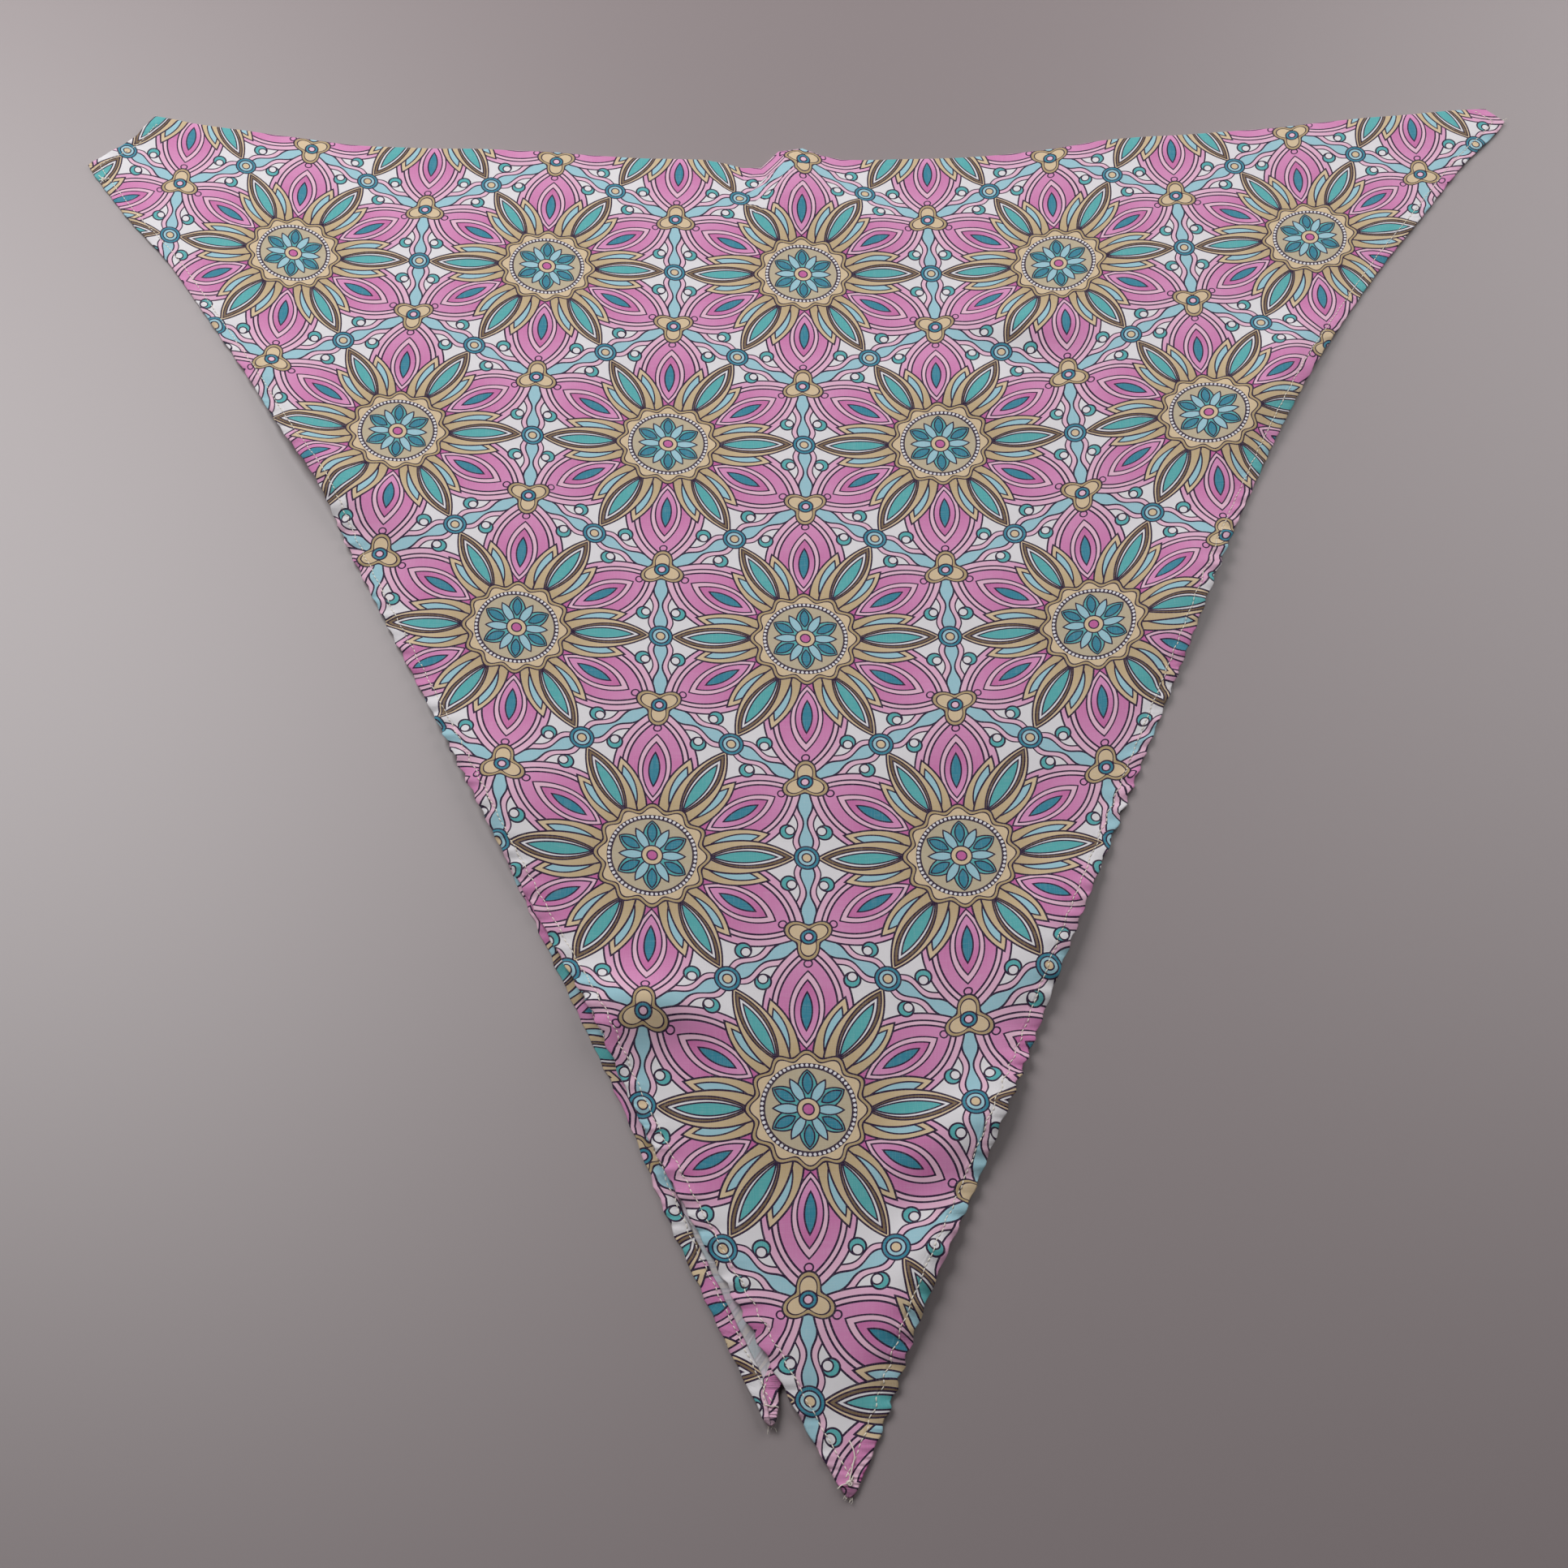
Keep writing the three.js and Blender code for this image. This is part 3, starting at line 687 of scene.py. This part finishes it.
def running_stitches(points, facings, rng):
    """The short arcs of thread that show along a line of stitches."""
    at, total = along_line(points, facings)
    shares = np.linspace(0, 1, STITCH_POINTS)
    rise = STITCH_RISE * (2 * np.sin(shares * math.pi) - 1)
    arcs = []
    start = rng.uniform(0, STITCH_PITCH)
    while start + STITCH_LENGTH < total:
        length = STITCH_LENGTH * rng.uniform(*STITCH_LENGTHS)
        place, facing = at(start + length * shares)
        side = rng.uniform(-1, 1) * STITCH_SIDEWAYS
        arc = place + facing * rise[:, None]
        arc[:, 0] += side * (shares - 0.5)
        arcs.append(arc)
        start += STITCH_PITCH * rng.uniform(*STITCH_STEPS)
    return arcs


def tubes_mesh(name, paths, radius, sides=6):
    """One mesh of closed round tubes, each along its own path."""
    nearly_up = (0.03, 0.02, 1)  # no thread runs this way
    vertices = []
    faces = []
    turn = np.arange(sides) * 2 * math.pi / sides
    for path in paths:
        path = np.asarray(path, float)
        tangent = np.gradient(path, axis=0)
        tangent /= np.linalg.norm(tangent, axis=1, keepdims=True)
        aside = np.cross(tangent, nearly_up)
        aside /= np.linalg.norm(aside, axis=1, keepdims=True)
        upward = np.cross(aside, tangent)
        first = len(vertices)
        for i, centre in enumerate(path):
            ring = centre + radius * (np.outer(np.cos(turn), aside[i]) + np.outer(np.sin(turn), upward[i]))
            vertices.extend(ring.tolist())
        for i in range(len(path) - 1):
            low = first + i * sides
            for k in range(sides):
                after = (k + 1) % sides
                faces.append((low + k, low + after, low + sides + after, low + sides + k))
        last = first + (len(path) - 1) * sides
        faces.append(tuple(first + k for k in reversed(range(sides))))
        faces.append(tuple(last + k for k in range(sides)))
    mesh = bpy.data.meshes.new(name)
    mesh.from_pydata(vertices, [], faces)
    mesh.shade_smooth()
    return mesh


def add_stitches(shift, material):
    rng = random.Random(5)
    on_top = CLOTH / 2
    on_strip = HEM_DEPTH + CLOTH / 2
    tip_from = UNDER_DROP - UNDER_TIP_SHOWS
    lines = [
        hem_stitch_line(upper_left, 1, upper_right, DROP, LEFT_STITCHES_FROM, upper_place, on_top),
        hem_stitch_line(upper_right, -1, upper_left, DROP, RIGHT_STITCHES_FROM, upper_place, on_top),
        hem_stitch_line(under_left, 1, under_right, UNDER_DROP, UNDER_SHOWS_FROM, under_place, on_strip),
        hem_stitch_line(under_right, -1, under_left, UNDER_DROP, tip_from, under_place, on_strip),
    ]
    paths = []
    for points, facings in lines:
        paths += running_stitches(points + shift, facings, rng)
    stitches = bpy.data.objects.new("hem_stitches", tubes_mesh("hem_stitches", paths, THREAD_RADIUS))
    stitches.data.materials.append(material)
    bpy.context.scene.collection.objects.link(stitches)
    return stitches


def smooth_path(points, steps=6):
    """A curve through the points."""
    ends = [2 * np.array(points[0]) - points[1], *np.array(points), 2 * np.array(points[-1]) - points[-2]]
    path = []
    for a, b, c, d in zip(ends, ends[1:], ends[2:], ends[3:]):
        for t in np.arange(steps) / steps:
            bend = (c - a) * t + (2 * a - 5 * b + 4 * c - d) * t**2 + (3 * b - a - 3 * c + d) * t**3
            path.append(b + bend / 2)
    path.append(ends[-2])
    return path


def cloth_top(x, y, shift):
    """Height of the upper layer's top under a point of the part's frame."""
    across = np.array(x - shift[0] + SPREAD / 2)
    down = np.clip(thread_back(across, 0) - (y - shift[1]), 0, DROP)
    return float(upper_height(across, down)) + CLOTH / 2


def strip_top(x, y, shift):
    """Height of the under layer's turned hem at a point of the part's frame."""
    across = np.array(x - shift[0] + SPREAD / 2)
    down = np.clip(thread_back(across, 0) - (y - shift[1]), 0, UNDER_DROP)
    return float(under_place(across, down)[2]) + HEM_DEPTH + CLOTH / 2


def loose_threads(shift):
    """The thread tail and its knot at the upper tip, the under tip's thread and the left corner's knot."""
    starts = [
        (SPREAD / 2 + TIP_SHIFT, DROP, TIP_THREADS, cloth_top),
        (SPREAD / 2 + UNDER_TIP_SHIFT, UNDER_DROP, UNDER_TIP_THREADS, strip_top),
        (0.0, LEFT_CORNER_DROP, CORNER_THREADS, cloth_top),
    ]
    paths = []
    for across, down, table, top_at in starts:
        start_x = across - SPREAD / 2 + shift[0]
        start_y = float(thread_back(np.array(across), down)) + shift[1]
        for thread in table:
            points = []
            for right, back, lift in thread:
                x, y = start_x + right / 1000, start_y + back / 1000
                points.append((x, y, top_at(x, y, shift) + THREAD_RADIUS + lift / 1000))
            paths.append(smooth_path(points))
    return paths


def frayed_ends(shift):
    """Fine fibres that stand out at the tips and the right corner, where the cloth was cut.

    Each end: its place across and down, its height, and the way that its fibres point, in degrees.
    """
    rng = random.Random(3)
    paths = []
    right_corner = (SPREAD - 0.0022, RIGHT_CORNER_DROP, 0.0016, -5)
    upper_tip = (SPREAD / 2 + TIP_SHIFT, DROP, 0.0016, -95)
    under_tip = (SPREAD / 2 + UNDER_TIP_SHIFT, UNDER_DROP, 0.0018, -80)
    for across, down, height, way in (right_corner, upper_tip, under_tip):
        for _ in range(FRAY_COUNT):
            angle = math.radians(way + rng.uniform(-FRAY_FAN, FRAY_FAN))
            length = rng.uniform(*FRAY_LENGTHS)
            back = float(thread_back(np.array(across), down))
            start = np.array([across - SPREAD / 2, back, height]) + shift
            start[:2] += (rng.uniform(*FRAY_RIGHT), rng.uniform(*FRAY_BACK))
            aim = np.array([math.cos(angle), math.sin(angle), rng.uniform(*FRAY_SLOPES)]) * length
            curl = np.array([rng.uniform(-1, 1), rng.uniform(-1, 1), 0]) * length * FRAY_CURL
            bent = start + aim * 0.5 + curl
            end = start + aim
            end[2] = max(end[2], THREAD_RADIUS)
            paths.append(smooth_path([start, bent, end], 4))
    return paths


def add_loose_threads(shift, material):
    paths = loose_threads(shift)
    mesh = tubes_mesh("loose_threads", paths, LOOSE_THREAD_RADIUS)
    threads = bpy.data.objects.new("loose_threads", mesh)
    mesh = tubes_mesh("frayed_ends", frayed_ends(shift), FRAY_RADIUS, FRAY_SIDES)
    fray = bpy.data.objects.new("frayed_ends", mesh)
    for piece in (threads, fray):
        piece.data.materials.append(material)
        bpy.context.scene.collection.objects.link(piece)
    return [threads, fray]


class Reading:
    """A number that varies over the cloth: the output of a shader node."""

    def __init__(self, tree, socket):
        self.tree = tree
        self.socket = socket

    def compute(self, operation, *values):
        node = self.tree.nodes.new("ShaderNodeMath")
        node.operation = operation
        for value, socket in zip(values, node.inputs):
            if isinstance(value, Reading):
                self.tree.links.new(value.socket, socket)
            else:
                socket.default_value = value
        return Reading(self.tree, node.outputs[0])

    def __add__(self, other):
        return self.compute("ADD", self, other)

    __radd__ = __add__

    def __sub__(self, other):
        return self.compute("SUBTRACT", self, other)

    def __rsub__(self, other):
        return self.compute("SUBTRACT", other, self)

    def __mul__(self, other):
        return self.compute("MULTIPLY", self, other)

    __rmul__ = __mul__

    def below(self, limit):
        return self.compute("LESS_THAN", self, limit)

    def smaller(self, other):
        return self.compute("MINIMUM", self, other)

    def root(self):
        return self.compute("SQRT", self)

    def exp(self):
        return self.compute("EXPONENT", self)

    def step_down(self):
        """Falls from 1 to 0 as the reading goes from minus a half to a half."""
        node = self.tree.nodes.new("ShaderNodeMapRange")
        node.interpolation_type = "SMOOTHSTEP"
        for name, value in (("From Min", -0.5), ("From Max", 0.5), ("To Min", 1), ("To Max", 0)):
            node.inputs[name].default_value = value
        self.tree.links.new(self.socket, node.inputs["Value"])
        return Reading(self.tree, node.outputs[0])

    def size(self):
        return self.compute("ABSOLUTE", self)

    def sin(self):
        return self.compute("SINE", self)

    def cos(self):
        return self.compute("COSINE", self)

    def angle_over(self, other):
        """Angle whose tangent is this reading over the other one."""
        return self.compute("ARCTAN2", self, other)

    def folded(self, half_period):
        """Runs from 0 up to half a period and back down to 0, over and over."""
        return self.compute("PINGPONG", self, half_period)

    def wrapped(self, period):
        """Runs from minus half a period to half a period, over and over."""
        return self.compute("WRAP", self, period / 2, -period / 2)


def linear(colour):
    """A screen colour as the amounts of light that a shader works in."""
    return [((c + 0.055) / 1.055) ** 2.4 if c > 0.04045 else c / 12.92 for c in colour]


def mix_colours(tree, share, first, second):
    """The output of a node that mixes two colours, each a screen colour or a socket."""
    node = tree.nodes.new("ShaderNodeMix")
    node.data_type = "RGBA"
    if isinstance(share, Reading):
        tree.links.new(share.socket, node.inputs["Factor"])
    else:
        node.inputs["Factor"].default_value = share
    sockets = [socket for socket in node.inputs if socket.type == "RGBA"]
    for colour, socket in zip((first, second), sockets):
        if isinstance(colour, tuple):
            socket.default_value = (*linear(colour), 1)
        else:
            tree.links.new(colour, socket)
    return next(socket for socket in node.outputs if socket.type == "RGBA")


class Dye:
    """Colours laid over each other on the cloth, each with a dark line round it."""

    def __init__(self, tree, ground):
        self.tree = tree
        self.colour = ground

    def lay(self, colour, shape, line=LINE):
        if line:
            self.put(PLUM, shape.within(line / 2))
        self.put(colour, shape.within(-line / 2 if line else 0))

    def put(self, colour, inside):
        if isinstance(colour[0], tuple):
            first, second, share = colour
            colour = mix_colours(self.tree, share, first, second)
        self.colour = mix_colours(self.tree, inside, self.colour, colour)


class Shape:
    """A region of the print: where a reading is under a limit.

    With a radius, the reading is a squared distance and the shape's edge is at that radius.
    """

    def __init__(self, reading, radius=None):
        self.reading = reading
        self.radius = radius

    def within(self, margin):
        if self.radius is None:
            return self.reading.below(margin)
        return self.reading.below((self.radius + margin) ** 2)


def disc(u, v, centre, radius):
    across = u - centre[0]
    up = v - centre[1]
    return Shape(across * across + up * up, radius)


def leaf(u, v, start, end, half_width):
    """A pointed oval along u. Its two arcs are circles whose centres lie beyond its middle line."""
    half_length = (end - start) / 2
    beyond = (half_length**2 - half_width**2) / (2 * half_width)
    along = u - (start + end) / 2
    aside = v.size() + beyond
    return Shape(along * along + aside * aside, beyond + half_width)


def turned(x, y, degrees):
    """The same place read along and across a line that is turned by an angle."""
    cos, sin = math.cos(math.radians(degrees)), math.sin(math.radians(degrees))
    return x * cos + y * sin, y * cos - x * sin


def fold_to_wedge(x, y):
    """Folds the plane of flowers on a six-sided lattice onto one twelfth of one flower."""
    near_x = x.folded(0.5)
    near_y = y.folded(ROW_STEP)
    far_x = 0.5 - near_x
    far_y = ROW_STEP - near_y
    near_square = near_x * near_x + near_y * near_y
    far_square = far_x * far_x + far_y * far_y
    far = far_square.below(near_square)
    wedge_x = near_x + (far_x - near_x) * far
    wedge_y = near_y + (far_y - near_y) * far
    reach = near_square.smaller(far_square).root()
    angle = wedge_y.angle_over(wedge_x).folded(math.pi / 6)
    return reach, angle, reach * angle.cos(), reach * angle.sin()


def print_border(dye, reach, angle, x):
    """White flames with a turquoise ribbon along the borders between the flowers."""
    flames = Shape((angle * 36).cos() * 0.02 - (angle * 12).cos() * 0.012 + 0.345 - reach)
    ribbon = Shape((angle * 24).cos() * 0.009 + 0.484 - x)
    dye.lay(WHITE, flames)
    dye.lay(PINK_PALE, Shape(ribbon.reading - 0.02), FINE_LINE)
    dye.lay(AQUA, ribbon)


def print_petals(dye, reach, x, y):
    """Six large pink petals towards the corners of the cell."""
    u, v = turned(x, y, 30)
    dye.lay((PINK, PINK_PALE, reach * 3.5 - 0.9), leaf(u, v, 0.06, 0.565, 0.138))
    dye.lay(PINK_PALE, leaf(u, v, 0.13, 0.535, 0.107))
    dye.lay((PINK_DEEP, PINK, reach * 3 - 0.5), leaf(u, v, 0.15, 0.515, 0.09))
    dye.lay(PINK_PALE, leaf(u, v, 0.2, 0.46, 0.052), FINE_LINE)
    dye.lay((PINK, PINK_DEEP, reach * 5 - 1.3), leaf(u, v, 0.22, 0.43, 0.037), FINE_LINE)
    dye.lay(TEAL, leaf(u, v, 0.26, 0.39, 0.017), FINE_LINE)
    dye.lay(PINK, disc(u, v, (0.485, 0), 0.012), FINE_LINE)


def print_fans(dye, reach, x, y):
    """Tan fans with blue blades towards the middles of the cell's sides."""
    low_u, low_v = turned(x, y, 13)
    dye.lay((SAND, TAN, 1.45 - reach * 4), leaf(low_u, low_v, 0.1, 0.385, 0.042))
    dye.lay(AQUA, leaf(low_u, low_v, 0.19, 0.35, 0.02), FINE_LINE)
    dye.lay((SAND, TAN, 1.45 - reach * 4), leaf(x, y, 0.1, 0.465, 0.06))
    dye.lay(BROWN, leaf(x, y, 0.18, 0.448, 0.041), FINE_LINE)
    dye.lay(WHITE, leaf(x, y, 0.19, 0.425, 0.031), FINE_LINE)
    dye.lay(TURQUOISE, leaf(x, y, 0.2, 0.4, 0.021), FINE_LINE)


def print_curls(dye, x, y):
    dye.lay(TURQUOISE, disc(x, y, (0.437, 0.097), 0.026))
    dye.lay(WHITE, disc(x, y, (0.446, 0.102), 0.016), FINE_LINE)


def print_links(dye, x, y):
    """A blue eye at the middle of each side and a tan trefoil at each corner of the cell."""
    for colour, radius in ((TEAL, 0.043), (AQUA, 0.03), (SAND, 0.016)):
        dye.lay(colour, disc(x, y, (0.5, 0), radius), FINE_LINE)
    u, v = turned(x, y, 30)
    back = CELL_CORNER - u
    reach = (back * back + v * v).root()
    lobes = (v.angle_over(back) * 3).cos() * -0.02
    dye.lay(TAN, Shape(reach + lobes - 0.062))
    dye.lay(SAND, Shape(reach + lobes - 0.047), FINE_LINE)
    dye.lay(TEAL, Shape(reach - 0.025), FINE_LINE)
    dye.lay(PINK_PALE, Shape(reach - 0.013), FINE_LINE)


def print_rosette(dye, reach, angle, x, y):
    """The heart of the flower: scallops, a ring of beads and small leaves."""
    scallop = (angle * 12).cos() * 0.011
    dye.lay(TAN, Shape(reach - scallop - 0.184))
    dye.lay(SAND, Shape(reach - scallop - 0.17), FINE_LINE)
    dye.lay(PLUM, Shape(reach - 0.152), None)
    bead = reach * angle.wrapped(math.pi / 30)
    past = reach - 0.1455
    dye.lay(WHITE, Shape(bead * bead + past * past, 0.0052), None)
    dye.lay(STONE, Shape(reach - 0.139), None)
    u, v = turned(x, y, 30)
    dye.lay(PLUM, Shape((reach - 0.137).size() - 0.0018), None)
    dye.lay(TURQUOISE, leaf(u, v, 0.018, 0.13, 0.03), FINE_LINE)
    dye.lay(TEAL, leaf(u, v, 0.05, 0.122, 0.016), FINE_LINE)
    dye.lay(AQUA, leaf(x, y, 0.02, 0.112, 0.016), FINE_LINE)
    dye.lay(SAND, Shape(reach - 0.036), FINE_LINE)
    dye.lay(PINK_DEEP, Shape(reach - 0.018), FINE_LINE)


def print_flowers(dye, x, y):
    """The whole print at one place of the cloth, in layers from the ground up."""
    sway = ((x * 2 + y * (1 / ROW_STEP)) * (2 * math.pi)).sin() * 0.005
    reach, angle, x, y = fold_to_wedge(x + sway, y + sway * 0.6)
    print_border(dye, reach, angle, x)
    print_petals(dye, reach, x, y)
    print_fans(dye, reach, x, y)
    print_curls(dye, x, y)
    print_links(dye, x, y)
    print_rosette(dye, reach, angle, x, y)


def print_group():
    """The print as a node group, from a place on the flat cloth in metres to a colour."""
    group = bpy.data.node_groups.new("flower_print", "ShaderNodeTree")
    for name in ("Across", "Down"):
        group.interface.new_socket(name, in_out="INPUT", socket_type="NodeSocketFloat")
    group.interface.new_socket("Colour", in_out="OUTPUT", socket_type="NodeSocketColor")
    start = group.nodes.new("NodeGroupInput")
    end = group.nodes.new("NodeGroupOutput")
    across, down = (Reading(group, socket) for socket in start.outputs[:2])
    dye = Dye(group, PINK_PALE)
    print_flowers(dye, (across - SPREAD / 2) * (1 / PRINT_PITCH), (down + FIRST_ROW) * (1 / PRINT_PITCH))
    group.links.new(dye.colour, end.inputs[0])
    return group


def threads_along(tree, across, down, thread, length):
    """Uneven threads: a noise that is drawn out along one direction of the weave."""
    join = tree.nodes.new("ShaderNodeCombineXYZ")
    tree.links.new((across * (1 / thread)).socket, join.inputs[0])
    tree.links.new((down * (1 / length)).socket, join.inputs[1])
    noise = tree.nodes.new("ShaderNodeTexNoise")
    noise.inputs["Scale"].default_value = 1
    noise.inputs["Detail"].default_value = 1
    tree.links.new(join.outputs[0], noise.inputs["Vector"])
    return Reading(tree, noise.outputs[0])


def uv_place(tree, map_name):
    place = tree.nodes.new("ShaderNodeUVMap")
    place.uv_map = map_name
    split = tree.nodes.new("ShaderNodeSeparateXYZ")
    tree.links.new(place.outputs[0], split.inputs[0])
    return [Reading(tree, socket) for socket in split.outputs[:2]]


def hem_relief(tree):
    """Height in metres of the fine puckers, the stitched groove and the turned cloth along the hems."""
    inward, along = uv_place(tree, "hem")
    drift = threads_along(tree, along, inward, FINE_DRIFT_LENGTH, FINE_DRIFT_LENGTH)
    share = inward * (1 / FINE_PUCKER_FADE)
    fade = (share * share * -1).exp()
    pace = 2 * math.pi / FINE_PUCKER_PITCH
    puckers = (along * pace + share * FINE_LEAN + drift * FINE_DRIFT).sin() * fade
    past = (inward - STITCH_INSET) * (1 / GROOVE_WIDTH)
    groove = (past * past * -1).exp()
    ridge = ((inward - HEM_WIDTH) * (1 / GROOVE_WIDTH)).step_down()
    return puckers * (drift * FINE_PUCKER_HEIGHT * 2) - groove * GROOVE_DEPTH + ridge * HEM_RIDGE


def cotton_material(name, group, ground, ground_share):
    """Plain-weave cotton with the print on it, paler where the ground shows through."""
    material = bpy.data.materials.new(name)
    material.use_nodes = True
    tree = material.node_tree
    shader = tree.nodes["Principled BSDF"]
    across, down = uv_place(tree, "cloth")
    flowers = tree.nodes.new("ShaderNodeGroup")
    flowers.node_tree = group
    for reading, socket in zip((across, down), flowers.inputs):
        tree.links.new(reading.socket, socket)
    warp = threads_along(tree, across, down, THREAD_WIDTH, SLUB_LENGTH)
    weft = threads_along(tree, down, across, THREAD_WIDTH, SLUB_LENGTH)
    show_through = (warp + weft) * SLUB_SHARE + (ground_share - SLUB_SHARE)
    colour = mix_colours(tree, show_through, flowers.outputs[0], ground)
    tree.links.new(colour, shader.inputs["Base Color"])
    shader.inputs["Roughness"].default_value = 0.85
    shader.inputs["Specular IOR Level"].default_value = 0.25
    shader.inputs["Sheen Weight"].default_value = 0.12
    pace = 2 * math.pi / WEAVE_PITCH
    weave = (across * pace).sin() * (down * pace).sin()
    height = weave * WEAVE_DEPTH + (warp + weft) * SLUB_DEPTH + hem_relief(tree)
    bump = tree.nodes.new("ShaderNodeBump")
    bump.inputs["Distance"].default_value = 1
    tree.links.new(height.socket, bump.inputs["Height"])
    tree.links.new(bump.outputs[0], shader.inputs["Normal"])
    return material


def plain_material(name, colour, roughness):
    material = bpy.data.materials.new(name)
    material.use_nodes = True
    shader = material.node_tree.nodes["Principled BSDF"]
    shader.inputs["Base Color"].default_value = (*colour, 1)
    shader.inputs["Roughness"].default_value = roughness
    return material


def add_floor():
    bpy.ops.mesh.primitive_plane_add(size=FLOOR_SIZE, location=(0, 0, -FLOOR_BELOW))
    floor = bpy.context.object
    floor.name = "floor"
    material = plain_material("floor", FLOOR_COLOUR, FLOOR_ROUGHNESS)
    material.node_tree.nodes["Principled BSDF"].inputs["IOR"].default_value = FLOOR_IOR
    floor.data.materials.append(material)


def add_area_light(name, place, target, power):
    data = bpy.data.lights.new(name, "AREA")
    data.shape = "DISK"
    data.size = LIGHT_SIZE
    data.energy = power
    light = bpy.data.objects.new(name, data)
    bpy.context.scene.collection.objects.link(light)
    light.location = place
    aim = Vector(target) - Vector(place)
    light.rotation_euler = aim.to_track_quat("-Z", "Y").to_euler()


def add_lights():
    for light in LIGHTS:
        add_area_light(*light)
    world = bpy.data.worlds.new("world")
    world.use_nodes = True
    background = world.node_tree.nodes["Background"]
    background.inputs["Color"].default_value = (*WORLD_COLOUR, 1)
    background.inputs["Strength"].default_value = WORLD_STRENGTH
    bpy.context.scene.world = world


add_camera()
flower_print = print_group()
printed = cotton_material("printed_cotton", flower_print, WHITE, 0.015)
reverse = cotton_material("printed_cotton_reverse", flower_print, REVERSE_GROUND, 0.8)
cloth, shift = make_cloth([printed, reverse])
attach(cloth, "root")
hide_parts(CAD_NODE)
thread = plain_material("cotton_thread", linear(THREAD_COLOUR), 0.8)
threads = [add_stitches(shift, thread), *add_loose_threads(shift, thread)]
for piece in threads:
    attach(piece, "root")

add_floor()
add_lights()
bpy.context.scene.view_settings.view_transform = "Standard"
